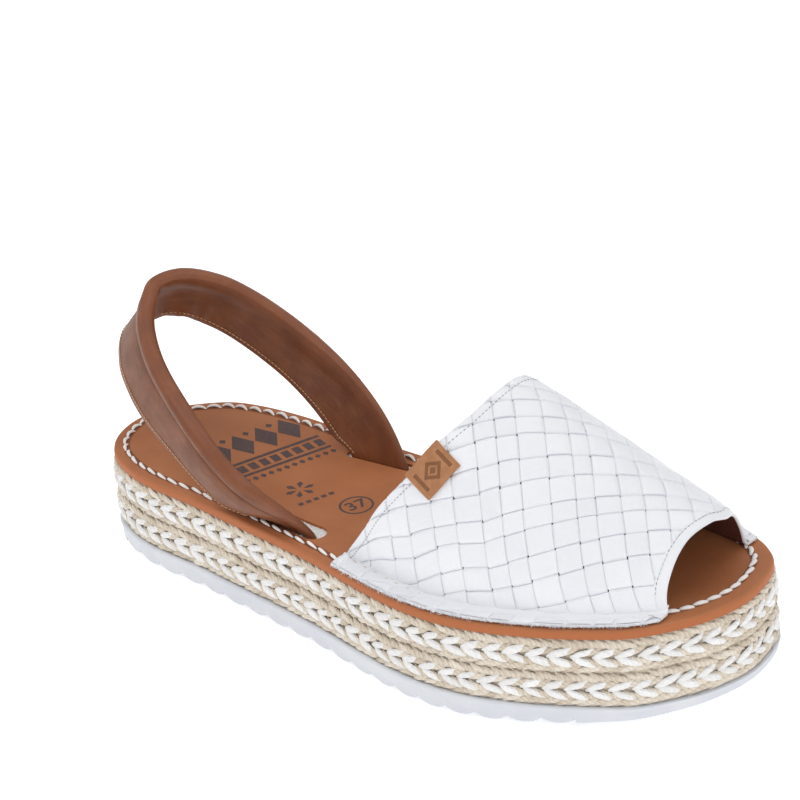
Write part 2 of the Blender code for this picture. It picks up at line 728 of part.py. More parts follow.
def main():
    clear_scene()
    things = [
        make_outsole(),
        make_midsole(),
        make_braid("jute_braid_lower", 0.0, 0.5),
        make_braid("jute_braid_upper", 0.5, 1.0),
        make_footbed(),
        make_vamp(),
        make_heel_strap(),
        make_label_tab(),
    ]
    centre_on_floor(things)


main()
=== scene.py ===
# %% [markdown]
# # A platform avarca sandal
#
# An avarca is a Balearic sandal: a wide vamp over the forefoot, an open toe and one strap
# round the heel.  This one stands on a platform wrapped in two jute braids.  The lesson
# builds it from the floor up, and each step says what the real piece is, which tools
# could make it and why one of them was taken.
#
# The first cell loads the measured solids of the sandal.  They are the frame: every piece
# below takes the place of one of them.

# %% Load the frame
import math

import bmesh
import bpy
import numpy as np
from mathutils import Matrix, Vector


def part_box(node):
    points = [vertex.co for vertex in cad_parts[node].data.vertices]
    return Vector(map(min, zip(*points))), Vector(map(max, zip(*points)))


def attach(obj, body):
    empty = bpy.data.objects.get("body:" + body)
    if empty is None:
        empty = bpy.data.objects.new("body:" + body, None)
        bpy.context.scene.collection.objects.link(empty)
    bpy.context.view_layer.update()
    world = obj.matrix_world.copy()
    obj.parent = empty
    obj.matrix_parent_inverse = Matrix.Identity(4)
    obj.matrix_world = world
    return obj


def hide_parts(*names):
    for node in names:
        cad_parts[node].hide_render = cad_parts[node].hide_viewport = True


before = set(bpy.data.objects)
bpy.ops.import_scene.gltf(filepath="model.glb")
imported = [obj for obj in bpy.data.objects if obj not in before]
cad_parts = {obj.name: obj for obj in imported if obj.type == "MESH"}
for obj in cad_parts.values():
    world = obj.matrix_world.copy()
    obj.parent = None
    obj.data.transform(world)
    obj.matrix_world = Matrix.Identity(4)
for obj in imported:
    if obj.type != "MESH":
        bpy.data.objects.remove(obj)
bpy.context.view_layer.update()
draw = np.random.default_rng(37)
print("frame nodes:", sorted(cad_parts))

# %% [markdown]
# ## The measures of the pattern
#
# A shoemaker starts from the footbed's pattern, and the frame was drawn from the same
# one.  The tables give it as shares of the footbed's length and of half its width at the
# ball, so that they stay readable.  Everything is in metres; x runs from the back of the
# heel to the toe, and the outer side of the foot is at minus y.

# %% Measures of the platform
MM = 0.001
FOOTBED_LENGTH = 0.2508
BALL_HALF_WIDTH = 0.0509
FOOTBED_THICKNESS = 3.0 * MM
OUTSOLE_THICKNESS = 8.2 * MM
OUTSOLE_OVERHANG = 0.8 * MM
BAND_HEIGHT_HEEL = 23.4 * MM
BAND_HEIGHT_TOE = 25.3 * MM
FIT_GAP = 0.3 * MM

# along, lateral half width, medial half width
OUTLINE = np.array((
    (0.0000, 0.000, 0.000), (0.0048, -0.157, 0.147), (0.0159, -0.275, 0.255),
    (0.0391, -0.401, 0.377), (0.0845, -0.515, 0.546), (0.1308, -0.574, 0.609),
    (0.2089, -0.615, 0.633), (0.2895, -0.678, 0.609), (0.3688, -0.739, 0.597),
    (0.4482, -0.807, 0.595), (0.5307, -0.906, 0.615), (0.6085, -0.982, 0.672),
    (0.6758, -1.000, 0.752), (0.7337, -0.961, 0.811), (0.7851, -0.884, 0.853),
    (0.8333, -0.790, 0.862), (0.8788, -0.676, 0.849), (0.9211, -0.544, 0.804),
    (0.9549, -0.354, 0.725), (0.9833, -0.126, 0.585), (1.0000, 0.193, 0.193)))

# %% [markdown]
# ## A soft curve through a few points
#
# A pattern maker bends a spline through marked points.  Catmull-Rom is that curve: it
# passes through every point, and the centripetal kind never loops between close ones.
# The result is walked once more, so that the points it gives are evenly spaced.

# %% A curve through points
def smooth_path(points, count, closed=False):
    """`count` even points on a soft curve through the given ones."""
    points = np.asarray(points, float)
    if closed:
        ring = np.vstack([points[-1], points, points[:2]])
    else:
        ring = np.vstack([2 * points[0] - points[1], points,
                          2 * points[-1] - points[-2]])
    knots = np.concatenate([[0], np.cumsum(
        np.sqrt(np.linalg.norm(np.diff(ring[:, :3], axis=0), axis=1)))])
    fine = []
    for k in range(1, len(ring) - 2):
        t0, t1, t2, t3 = knots[k - 1:k + 3]
        p0, p1, p2, p3 = ring[k - 1:k + 3]
        t = np.linspace(t1, t2, 24, endpoint=False)[:, None]
        a1 = ((t1 - t) * p0 + (t - t0) * p1) / (t1 - t0)
        a2 = ((t2 - t) * p1 + (t - t1) * p2) / (t2 - t1)
        a3 = ((t3 - t) * p2 + (t - t2) * p3) / (t3 - t2)
        b1 = ((t2 - t) * a1 + (t - t0) * a2) / (t2 - t0)
        b2 = ((t3 - t) * a2 + (t - t1) * a3) / (t3 - t1)
        fine.append(((t2 - t) * b1 + (t - t1) * b2) / (t2 - t1))
    fine = np.vstack(fine + [fine[0][:1] if closed else points[-1:]])
    run = walk(fine[:, :3])
    at = np.linspace(0, run[-1], count + closed)[:count]
    return np.stack([np.interp(at, run, fine[:, k]) for k in range(fine.shape[1])], 1)


def walk(path):
    """The way walked along a path, point by point."""
    return np.concatenate([[0], np.cumsum(
        np.linalg.norm(np.diff(path, axis=0), axis=1))])


def unit(vectors):
    return vectors / np.maximum(np.linalg.norm(vectors, axis=-1, keepdims=True), 1e-12)


# %% The footbed's outline, as a path to walk along
outer_side = np.stack([OUTLINE[:, 0] * FOOTBED_LENGTH, OUTLINE[:, 1] * BALL_HALF_WIDTH], 1)
inner_side = np.stack([OUTLINE[:, 0] * FOOTBED_LENGTH, OUTLINE[:, 2] * BALL_HALF_WIDTH], 1)
EDGE = smooth_path(np.vstack([outer_side, inner_side[::-1][1:-1]]), 1600, closed=True)
GIRTH = walk(np.vstack([EDGE, EDGE[:1]]))[-1]
edge_way = unit(np.roll(EDGE, -1, axis=0) - np.roll(EDGE, 1, axis=0))
EDGE_OUT = np.stack([edge_way[:, 1], -edge_way[:, 0]], 1)
TIP = EDGE[:, 0].argmax()
TIP_RUN = GIRTH * TIP / len(EDGE)
SIDES = {-1: EDGE[:TIP + 1], 1: np.vstack([EDGE[TIP:], EDGE[:1]])[::-1]}


def beside_edge(run, offset=0.0):
    """Points at `run` metres round the outline from the heel, moved outwards."""
    spot = np.asarray(run) / GIRTH * len(EDGE)
    low = np.floor(spot).astype(int)
    part = (spot - low)[..., None]
    low, high = low % len(EDGE), (low + 1) % len(EDGE)
    place = EDGE[low] * (1 - part) + EDGE[high] * part
    return place + (EDGE_OUT[low] * (1 - part) + EDGE_OUT[high] * part) \
        * np.asarray(offset)[..., None]


def side_y(x, side):
    """The outline's y at x: side -1 is the outer one, 1 the inner one."""
    return np.interp(x, SIDES[side][:, 0], SIDES[side][:, 1])


def footbed_under(x):
    climb = (BAND_HEIGHT_TOE - BAND_HEIGHT_HEEL) * np.asarray(x) / FOOTBED_LENGTH
    return OUTSOLE_THICKNESS + BAND_HEIGHT_HEEL + climb


def footbed_top(x):
    return footbed_under(x) + FOOTBED_THICKNESS


footbed_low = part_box("footbed")[0]
ORIGIN = np.array([footbed_low[0], footbed_low[1] - EDGE[:, 1].min(), 0.0])
print("outline %.1f mm round, frame origin at %s" % (GIRTH / MM, np.round(ORIGIN, 5)))

# %% [markdown]
# ## Gathering mesh
#
# Most of a sandal is many small alike things: limbs of a braid, stitches, woven cells.
# One object for each would be slow and hard to handle, so a `Heap` gathers points and
# faces, with a UV place for each point, and makes one piece of them.  A mesh made by
# hand from arrays is quicker here than modifiers, and it gives the same result each run.

# %% The heap
def grid_faces(rows, columns, round_rows=False, round_columns=False):
    """Quads over a grid of points, which may close on itself either way."""
    i = np.arange(rows if round_rows else rows - 1)[:, None]
    j = np.arange(columns if round_columns else columns - 1)[None, :]
    n, m = (i + 1) % rows, (j + 1) % columns
    quads = np.stack([i * columns + j, n * columns + j, n * columns + m,
                      i * columns + m], -1)
    return quads.reshape(-1, 4)


class Heap:
    """Gathers the points, faces and UV places of many small things."""

    def __init__(self):
        self.points, self.faces, self.uvs, self.shades, self.count = [], [], [], [], 0

    def add(self, points, faces, uv=None, shade=0.0):
        points = np.asarray(points, float).reshape(-1, 3)
        self.points.append(points)
        self.uvs.append(np.zeros((len(points), 2)) if uv is None
                        else np.asarray(uv, float).reshape(-1, 2))
        self.shades.append(np.broadcast_to(shade, (len(points),)))
        self.faces += [[int(k) + self.count for k in face] for face in faces]
        self.count += len(points)

    def piece(self, name, material, slot, replaces=None, sharp=40.0, cutters=()):
        mesh = bpy.data.meshes.new(name)
        points = np.vstack(self.points) + ORIGIN
        mesh.from_pydata(points.tolist(), [], self.faces)
        mesh.validate()
        corner = np.empty(len(mesh.loops), np.int32)
        mesh.loops.foreach_get("vertex_index", corner)
        layer = mesh.uv_layers.new(name="lay")
        layer.data.foreach_set("uv", np.vstack(self.uvs)[corner].ravel())
        shade = mesh.attributes.new("shade", "FLOAT", "POINT")
        shade.data.foreach_set("value", np.concatenate(self.shades).astype(np.float32))
        if cutters:
            mesh = cut(mesh, cutters)
        return dress(name, mesh, material, replaces, sharp)


def cut(mesh, cutters):
    """Cuts closed shapes out of a closed mesh."""
    block = bpy.data.objects.new("block", mesh)
    bpy.context.collection.objects.link(block)
    tools = []
    for cutter in cutters:
        tool = bpy.data.objects.new("cutter", cutter)
        bpy.context.collection.objects.link(tool)
        step = block.modifiers.new("cut", "BOOLEAN")
        step.operation, step.solver, step.object = "DIFFERENCE", "EXACT", tool
        tools.append(tool)
    view = bpy.context.evaluated_depsgraph_get()
    made = bpy.data.meshes.new_from_object(block.evaluated_get(view))
    for thing in tools + [block]:
        bpy.data.objects.remove(thing, do_unlink=True)
    return made


def dress(name, mesh, material, replaces=None, sharp=40.0):
    """Makes an object of a mesh, gives it its finish and ties it to the frame."""
    mesh.materials.append(material)
    mesh.shade_smooth()
    mesh.set_sharp_from_angle(angle=math.radians(sharp))
    made = bpy.data.objects.new(name, mesh)
    bpy.context.collection.objects.link(made)
    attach(made, "root")
    if replaces:
        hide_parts(*replaces)
    print("%-22s %6d faces" % (name, len(mesh.polygons)))
    return made


# %% [markdown]
# ## Thread, cord and hair
#
# A stitch, a limb of a braid and a stray fibre are the same shape at three sizes: a tube
# that swells in the middle and closes at both ends.  A bevelled curve would do it too,
# but a thousand curves are slow, so the tube is wound directly round its path.

# %% A tube round a path
def tube(heap, path, radius, sides=8, flat=1.0, out=(0, 0, 1), shade=0.0, turns=0.0):
    """A closed tube along `path`.  flat: its height over its width."""
    path = np.asarray(path, float)
    rings = len(path)
    radius = np.broadcast_to(radius, (rings,))
    ahead = unit(np.gradient(path, axis=0))
    up = np.broadcast_to(np.asarray(out, float), path.shape)
    across = unit(np.cross(ahead, up))
    up = np.cross(across, ahead)
    angle = np.arange(sides) * 2 * math.pi / sides
    around = across[:, None] * np.cos(angle)[None, :, None] \
        + up[:, None] * (np.sin(angle) * flat)[None, :, None]
    points = path[:, None] + around * radius[:, None, None]
    run = walk(path)
    lay = np.stack(np.broadcast_arrays(
        run[:, None] / MM, (angle / (2 * math.pi))[None, :] + turns * run[:, None]), -1)
    faces = list(grid_faces(rings, sides, round_columns=True))
    faces.append(list(range(sides))[::-1])
    faces.append([(rings - 1) * sides + k for k in range(sides)])
    heap.add(points, faces, lay, shade)


def arch(start, end, rise, out, count=8):
    """A path from start to end that bows outwards by `rise`."""
    t = np.linspace(0, 1, count)[:, None]
    bow = np.sin(math.pi * t) ** 0.8
    return np.asarray(start) * (1 - t) + np.asarray(end) * t + np.asarray(out) * bow * rise


SPINDLE = np.sin(math.pi * np.linspace(0.06, 0.94, 8)) ** 0.55

# %% [markdown]
# ## Shader maths
#
# A finish is a recipe of nodes, and a recipe reads best as an expression.  A `Wire` is
# one socket: adding or multiplying two wires adds the Math node that does it.  A `Sheet`
# is the node tree of one material, and its `node` method adds any other node: settings
# first, then what goes into its sockets.

# %% Wires and sheets
class Wire:
    """A socket that numbers and other wires can be added to, multiplied by and so on."""

    def __init__(self, sheet, socket):
        self.sheet, self.socket = sheet, socket

    def maths(self, operation, one, two=None):
        values = {0: one} if two is None else {0: one, 1: two}
        return self.sheet.node("ShaderNodeMath", {"operation": operation}, values)

    def __add__(self, other): return self.maths("ADD", self, other)
    def __radd__(self, other): return self.maths("ADD", other, self)
    def __sub__(self, other): return self.maths("SUBTRACT", self, other)
    def __rsub__(self, other): return self.maths("SUBTRACT", other, self)
    def __mul__(self, other): return self.maths("MULTIPLY", self, other)
    def __rmul__(self, other): return self.maths("MULTIPLY", other, self)
    def __truediv__(self, other): return self.maths("DIVIDE", self, other)
    def __rtruediv__(self, other): return self.maths("DIVIDE", other, self)
    def __pow__(self, other): return self.maths("POWER", self, other)
    def __mod__(self, other): return self.maths("FLOORED_MODULO", self, other)
    def __abs__(self): return self.maths("ABSOLUTE", self)
    def __lt__(self, other): return self.maths("LESS_THAN", self, other)
    def __gt__(self, other): return self.maths("GREATER_THAN", self, other)

    def sine(self): return self.maths("SINE", self)
    def least(self, other): return self.maths("MINIMUM", self, other)
    def most(self, other): return self.maths("MAXIMUM", self, other)

    def within(self, low, high, soft=True):
        """0 at low, 1 at high, held there beyond both."""
        return self.sheet.node("ShaderNodeMapRange", {
            "interpolation_type": "SMOOTHSTEP" if soft else "LINEAR", "clamp": True},
            {"Value": self, "From Min": low, "From Max": high})


class Sheet:
    """The node tree of one material."""

    def __init__(self, name):
        self.material = bpy.data.materials.new(name)
        self.material.use_nodes = True
        self.tree = self.material.node_tree
        self.shader = self.tree.nodes["Principled BSDF"]

    def node(self, kind, settings=None, sockets=None, out=0):
        made = self.tree.nodes.new(kind)
        for name, value in (settings or {}).items():
            if name == "stops":
                ramp = made.color_ramp.elements
                while len(ramp) < len(value):
                    ramp.new(0.5)
                for stop, (place, colour) in zip(ramp, value):
                    stop.position, stop.color = place, colour
            else:
                setattr(made, name, value)
        for key, value in (sockets or {}).items():
            self.join(made.inputs[key], value)
        return Wire(self, made.outputs[out])

    def join(self, socket, value):
        if isinstance(value, Wire):
            self.tree.links.new(value.socket, socket)
        elif isinstance(value, (tuple, list)) and len(socket.default_value) == 4:
            socket.default_value = tuple(value)[:3] + (1.0,)
        else:
            socket.default_value = value

    def place(self, scale=(1, 1, 1)):
        """Where a point is on the object, stretched by `scale`, in millimetres."""
        at = self.node("ShaderNodeTexCoord", out="Object")
        return self.node("ShaderNodeVectorMath", {"operation": "MULTIPLY"},
                         {0: at, 1: tuple(s / MM for s in scale)})

    def lay(self, along=1.0, around=1.0):
        """The UV place, for threads: run in millimetres, and share of a turn."""
        at = self.node("ShaderNodeUVMap", {"uv_map": "lay"})
        return self.node("ShaderNodeVectorMath", {"operation": "MULTIPLY"},
                         {0: at, 1: (along, around, 1.0)})

    def shade(self):
        return self.node("ShaderNodeAttribute", {"attribute_name": "shade"}, out="Fac")

    def axis(self, vector, name):
        return self.node("ShaderNodeSeparateXYZ", None, {0: vector}, out=name)

    def noise(self, at, size, detail=3.0, rough=0.5):
        """Soft noise whose blots are about `size` millimetres."""
        return self.node("ShaderNodeTexNoise", None, {
            "Vector": at, "Scale": 1.0 / size, "Detail": detail, "Roughness": rough})

    def cells(self, at, size, feature="DISTANCE_TO_EDGE"):
        return self.node("ShaderNodeTexVoronoi", {"feature": feature}, {
            "Vector": at, "Scale": 1.0 / size})

    def blend(self, share, one, two, kind="MIX"):
        """Colour `one` where share is 0, `two` where it is 1."""
        return self.node("ShaderNodeMix", {"data_type": "RGBA", "blend_type": kind},
                         {0: share, 6: one, 7: two}, out=2)

    def relief(self, *layers):
        """Bumps on bumps: (height wire, depth in millimetres), coarse ones first."""
        normal = None
        for height, depth in layers:
            sockets = {"Height": height, "Distance": depth * MM, "Strength": 1.0}
            if normal:
                sockets["Normal"] = normal
            normal = self.node("ShaderNodeBump", None, sockets)
        self.join(self.shader.inputs["Normal"], normal)

    def finish(self, colour, roughness, **others):
        self.join(self.shader.inputs["Base Color"], colour)
        self.join(self.shader.inputs["Roughness"], roughness)
        for name, value in others.items():
            self.join(self.shader.inputs[name.replace("_", " ").capitalize()
                                         if name not in NAMED else NAMED[name]], value)
        return self.material


NAMED = {"coat_weight": "Coat Weight", "coat_roughness": "Coat Roughness",
         "sheen_weight": "Sheen Weight", "sheen_roughness": "Sheen Roughness",
         "specular": "Specular IOR Level", "subsurface": "Subsurface Weight"}

# %% [markdown]
# ## The outsole
#
# The sole is one moulding of white rubber: a thin lip under the braids, a smooth wall,
# and lugs whose round bellies meet in sharp notches.  A boolean with a row of cylinders
# would cut the notches too, but a wall swept round the outline keeps every ring of
# points in step with the next, so the shading stays clean.

# %% The outsole's shape
TOE_SPRING = 4.5 * MM
SPRING_START, SPRING_POWER = 0.68, 1.6
SCALLOP_PITCH = 10.7 * MM
SCALLOP_DEPTH = 2.3 * MM
SCALLOP_START = 0.045 * FOOTBED_LENGTH
SCALLOP_COUNT = int((0.86 - 0.045) * FOOTBED_LENGTH / SCALLOP_PITCH)
SCALLOP = smooth_path(((0.00, 1.00), (0.05, 0.72), (0.14, 0.45), (0.38, 0.07),
                       (0.56, 0.00), (0.76, 0.09), (0.92, 0.48), (1.00, 1.00)), 80)

# offset from the outline in mm, height in mm over the tread, share of the lug's lift
SOLE_WALL = ((-6.0, 8.2, 0), (-0.2, 8.2, 0), (0.45, 8.1, 0), (0.8, 7.7, 0),
             (0.85, 7.0, 0), (0.6, 6.5, 0), (0.45, 6.0, 0), (0.40, 5.0, 0.05),
             (0.30, 3.6, 0.25), (0.20, 2.2, 0.6), (0.05, 1.2, 0.85), (-0.30, 0.5, 0.95),
             (-1.0, 0.08, 1.0), (-2.2, 0.0, 1.0), (-4.8, 0.0, 0.86), (-7.2, 0.0, 0.45),
             (-9.0, 0.0, 0.0))
SOLE_SAMPLES = 1040


def spring(x):
    share = np.clip((x / FOOTBED_LENGTH - SPRING_START) / (1 - SPRING_START), 0, None)
    return TOE_SPRING * share ** SPRING_POWER


def lug_lift(x):
    phase = (x - SCALLOP_START) / SCALLOP_PITCH
    lift = np.interp(phase % 1.0, SCALLOP[:, 0], SCALLOP[:, 1])
    return SCALLOP_DEPTH * lift * ((phase >= 0) & (phase <= SCALLOP_COUNT))


half = SOLE_SAMPLES // 2
runs = np.concatenate([np.linspace(0, TIP_RUN, half, endpoint=False),
                       np.linspace(TIP_RUN, GIRTH, half, endpoint=False)])
rings = []
for offset, height, lifted in SOLE_WALL:
    xy = beside_edge(runs, np.full(SOLE_SAMPLES, offset * MM))
    low = spring(xy[:, 0])
    z = low + height / 8.2 * (OUTSOLE_THICKNESS - low) + lug_lift(xy[:, 0]) * lifted
    rings.append(np.column_stack([xy, z]))
sole = Heap()
faces = list(grid_faces(len(rings), SOLE_SAMPLES, round_columns=True))
for ring in (0, len(rings) - 1):
    base = ring * SOLE_SAMPLES
    for k in range(half):
        n, a, b = k + 1, (SOLE_SAMPLES - k) % SOLE_SAMPLES, SOLE_SAMPLES - k - 1
        corners = list(dict.fromkeys([k, n, b, a]))
        if len(corners) > 2:
            faces.append([base + c for c in corners])
sole.add(np.vstack(rings), faces)

# %% [markdown]
# The rubber is satin and faintly blue.  Its wall keeps tiny flow marks from the mould and
# greys a little in the notches, where the light doesn't reach and dust stays.

# %% White rubber
sheet = Sheet("white rubber")
at = sheet.place()
cloud = sheet.noise(at, 18.0)
speck = sheet.noise(sheet.place((0.3, 0.3, 1.0)), 1.1, 5.0)
low_part = sheet.axis(at, "Z").within(0.0, 5.0)
tint = sheet.blend(cloud.within(0.35, 0.7), (0.63, 0.65, 0.70), (0.68, 0.70, 0.735))
tint = sheet.blend((1 - low_part) * 0.35, tint, (0.53, 0.55, 0.60))
sheet.relief((speck, 0.10), (sheet.noise(at, 0.35), 0.05))
rubber = sheet.finish(tint, 0.42 + 0.12 * cloud, specular=0.45)
outsole = sole.piece("outsole_moulding", rubber, "outsole", ["outsole"], sharp=50)

# %% [markdown]
# ## The foam midsole
#
# The core of the platform is light foam.  Only the two slots through the footbed show
# it, so the frame's own solid stays, with a finish of fine open pores.

# %% White foam
sheet = Sheet("white foam")
at = sheet.place()
pores = sheet.cells(at, 0.55)
cloud = sheet.noise(at, 3.0)
tint = sheet.blend(pores.within(0.0, 0.25), (0.62, 0.60, 0.57), (0.86, 0.85, 0.83))
sheet.relief((cloud, 0.4), (pores, 0.15))
foam = sheet.finish(tint, 0.85 + 0.1 * cloud)
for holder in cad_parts["midsole"].material_slots:
    holder.material = foam

# %% [markdown]
# ## The braids
#
# Each braid is plaited from hairy jute and smooth white cord.  From its top down it
# shows four rows: jute, two rows of white limbs that meet in chevrons, and jute again.
# An image of a braid would look flat at the edges of the shoe, so each limb is a small
# twisted spindle that starts and ends behind its neighbours.

# %% Limbs of the braid
BRAID_PITCH = 7.24 * MM
LIMBS = int(round(GIRTH / BRAID_PITCH))

# For each row of a braid: kind, share of its height at the start and at the end of the
# limb, where it starts and how far it runs in pitches, thickness and depth in mm
BRAID_ROWS = (
    ("jute", 1.02, 0.70, 0.10, 1.10, 1.12, 0.00), ("jute", 1.03, 0.71, 0.60, 1.10, 1.12, 0.10),
    ("white", 0.46, 0.78, 0.00, 1.08, 1.30, -0.25), ("jute", 0.50, 0.82, 0.50, 1.05, 1.05, 0.05),
    ("white", 0.54, 0.18, 0.06, 1.12, 1.36, -0.24), ("jute", 0.48, 0.18, 0.56, 1.05, 1.05, 0.05),
    ("jute", -0.02, 0.30, 0.05, 1.10, 1.12, 0.00), ("jute", -0.03, 0.29, 0.55, 1.10, 1.12, 0.10))
BRAID_SPLIT = 0.5


def on_band(run, share, depth):
    """A point on the platform's side: share of its height, depth inwards."""
    xy = beside_edge(run, -np.asarray(depth, float) * np.ones_like(run))
    under = footbed_under(xy[:, 0])
    z = OUTSOLE_THICKNESS + FIT_GAP + (under - OUTSOLE_THICKNESS - 2 * FIT_GAP) * share
    return np.column_stack([xy, z])


def band_out(run):
    way = beside_edge(run, 1.0) - beside_edge(run, 0.0)
    return np.append(way, 0.0)


jute_limbs, white_limbs = Heap(), Heap()
for braid, (bottom, top) in enumerate(((0.0, BRAID_SPLIT), (BRAID_SPLIT, 1.0))):
    slip = 0.35 * braid
    for row, (kind, start, end, shift, sweep, thick, depth) in enumerate(BRAID_ROWS):
        for k in range(LIMBS):
            wobble = draw.normal(0, 1, 6)
            t = np.linspace(0, 1, 8)
            run = (k + shift + slip + 0.03 * wobble[0] + t * sweep * (1 + 0.05 * wobble[1])) \
                * GIRTH / LIMBS
            share = start + (end - start) * (t + 0.07 * np.sin(2 * math.pi * t)) \
                + 0.012 * wobble[2]
            share = bottom + (top - bottom) * (0.01 + 0.98 * share)
            swell = np.sin(math.pi * t)
            round_braid = 0.40 * (1 - (2 * start + 2 * (end - start) * t - 1) ** 2)
            inwards = (depth + 1.0 - 0.70 * swell - round_braid
                       + 0.08 * wobble[3]) * MM
            path = on_band(run, share, inwards)
            radius = thick * MM * SPINDLE * (1 + 0.07 * wobble[4])
            heap = white_limbs if kind == "white" else jute_limbs
            tube(heap, path, radius, 8, 0.64, band_out(run[4:5][0]),
                 shade=0.5 + 0.22 * wobble[5], turns=0.0)

# %% [markdown]
# Behind the limbs lies the body of each braid, and all over it stand stray fibres.
# They are what makes jute look like jute from close by: fine, pale, and leaning anyhow.

# %% The braid's body and its stray fibres
body_runs = np.linspace(0, GIRTH, 480, endpoint=False)
body = Heap()
for bottom, top in ((0.0, BRAID_SPLIT), (BRAID_SPLIT, 1.0)):
    loops = []
    for share, depth in ((0.0, 3.4), (0.0, 0.9), (0.3, 0.9), (0.7, 0.9), (1.0, 0.9),
                         (1.0, 3.4)):
        loops.append(on_band(body_runs, np.full(480, bottom + (top - bottom) * share),
                             np.full(480, depth * MM)))
    body.add(np.vstack(loops), grid_faces(len(loops), 480, round_rows=True,
                                          round_columns=True), shade=0.6)

hairs = Heap()
for k in range(4600):
    run = draw.uniform(0, GIRTH)
    share = draw.choice((0.06, 0.22, 0.5, 0.5, 0.72, 0.94)) + draw.normal(0, 0.05)
    root = on_band(np.array([run]), np.clip(share, 0.02, 0.98), np.array([0.5 * MM]))[0]
    out = band_out(run)
    along = np.array([-out[1], out[0], 0.0])
    lean = along * draw.normal(0, 1.0) + np.array([0, 0, 1]) * draw.normal(0, 0.55)
    reach = draw.uniform(0.9, 2.8) * MM
    rise = draw.uniform(0.35, 0.95) * MM
    path = root + out * np.sin(math.pi * np.linspace(0, 0.8, 5))[:, None] * rise \
        + np.linspace(0, 1, 5)[:, None] * lean * reach
    tube(hairs, path, 0.042 * MM * np.linspace(1.2, 0.5, 5), 3, shade=draw.uniform(0.3, 1))

# %% Jute and white cord
def fibre_finish(name, dark, light, groove, strands, specular):
    """Twisted thread: streaks wind along it, and each limb has its own shade."""
    sheet = Sheet(name)
    wound = sheet.lay(0.22, 1.0)
    streak = sheet.node("ShaderNodeTexWave", {"bands_direction": "DIAGONAL"}, {
        "Vector": wound, "Scale": strands, "Distortion": 5.0, "Detail": 4.0,
        "Detail Scale": 1.6})
    streak = Wire(sheet, streak.socket.node.outputs["Fac"])
    fine = sheet.noise(sheet.lay(0.5, 9.0), 0.35, 5.0, 0.7)
    blot = sheet.noise(sheet.place(), 2.6)
    share = (0.25 * streak + 0.75 * fine) * 0.8 + (sheet.shade() - 0.5) * 0.5
    tint = sheet.blend(share.within(0.1, 0.75), dark, light)
    tint = sheet.blend(blot.within(0.45, 0.75) * 0.4, tint, groove)
    sheet.relief((streak, 0.16), (fine, 0.3))
    return sheet.finish(tint, 0.8 + 0.15 * fine, specular=specular, sheen_weight=0.25)


jute = fibre_finish("jute", (0.62, 0.52, 0.40), (0.90, 0.82, 0.71), (0.74, 0.64, 0.51),
                    1.5, 0.2)
cord = fibre_finish("white cord", (0.86, 0.85, 0.84), (0.97, 0.97, 0.97),
                    (0.90, 0.88, 0.86), 1.2, 0.35)
jute_limbs.piece("jute_limbs", jute, "jute_braid",
                 ["jute_braid_lower", "jute_braid_upper"])
body.piece("jute_body", jute, "jute_braid")
hairs.piece("jute_hairs", jute, "jute_braid")
white_limbs.piece("white_cord_limbs", cord, "jute_braid")

# %% [markdown]
# ## The footbed
#
# The footbed is one piece of tan leather with a softly rounded edge.  The two ends of
# the heel strap go down through slots in it.  The slots are cut with a boolean, because
# they are holes through a flat plate, which is what that tool does best.

# %% Plate and slots
STRAP_WIDTH = 22.8 * MM
SLOT_END_ROOM = 2.1 * MM
# along, across, turn in degrees, which side is outwards, width, and how far outwards
# from the slot's middle the strap stands in it
SLOTS = {"outer": (0.381, -0.550, -6.0, -1.0, 8.5 * MM, 2.0 * MM),
         "inner": (0.375, 0.393, 4.0, 1.0, 4.4 * MM, -0.4 * MM)}

# offset and height in mm
PLATE_WALL = ((0.0, 0.0), (0.0, 1.9), (-0.1, 2.35), (-0.32, 2.7), (-0.65, 2.92), (-1.1, 3.0))


def slot_frame(which):
    along, across, turn, side, width, stand = SLOTS[which]
    ahead = np.array([math.cos(math.radians(turn)), math.sin(math.radians(turn))])
    middle = np.array([along * FOOTBED_LENGTH, across * BALL_HALF_WIDTH])
    return middle, ahead, np.array([-ahead[1], ahead[0]]) * side, width, stand


def slot_cutter(which):
    middle, ahead, out, width, stand = slot_frame(which)
    reach = STRAP_WIDTH / 2 + SLOT_END_ROOM - width / 2
    angle = np.linspace(-math.pi / 2, math.pi / 2, 17)
    bend = np.stack([reach + width / 2 * np.cos(angle), width / 2 * np.sin(angle)], 1)
    ring = np.vstack([bend, -bend])
    ring = middle + ring[:, :1] * ahead + ring[:, 1:] * out
    low, high = OUTSOLE_THICKNESS + 20 * MM, OUTSOLE_THICKNESS + 32 * MM
    points = np.vstack([np.column_stack([ring, np.full(len(ring), z)])
                        for z in (low, high)])
    count = len(ring)
    faces = grid_faces(2, count, round_columns=True).tolist()
    faces += [list(range(count)), list(range(count, 2 * count))[::-1]]
    mesh = bpy.data.meshes.new("slot")
    mesh.from_pydata((points + ORIGIN).tolist(), [], faces)
    shape = bmesh.new()
    shape.from_mesh(mesh)
    bmesh.ops.recalc_face_normals(shape, faces=shape.faces)
    shape.to_mesh(mesh)
    shape.free()
    return mesh


PLATE_SAMPLES = 640
runs = np.linspace(0, GIRTH, PLATE_SAMPLES, endpoint=False)
plate = Heap()
loops = []
for offset, height in PLATE_WALL:
    xy = beside_edge(runs, np.full(PLATE_SAMPLES, offset * MM))
    loops.append(np.column_stack([xy, footbed_under(xy[:, 0]) + height * MM]))
faces = grid_faces(len(loops), PLATE_SAMPLES, round_columns=True).tolist()
faces.append(list(range(PLATE_SAMPLES))[::-1])
faces.append([(len(loops) - 1) * PLATE_SAMPLES + k for k in range(PLATE_SAMPLES)])
plate.add(np.vstack(loops), faces)

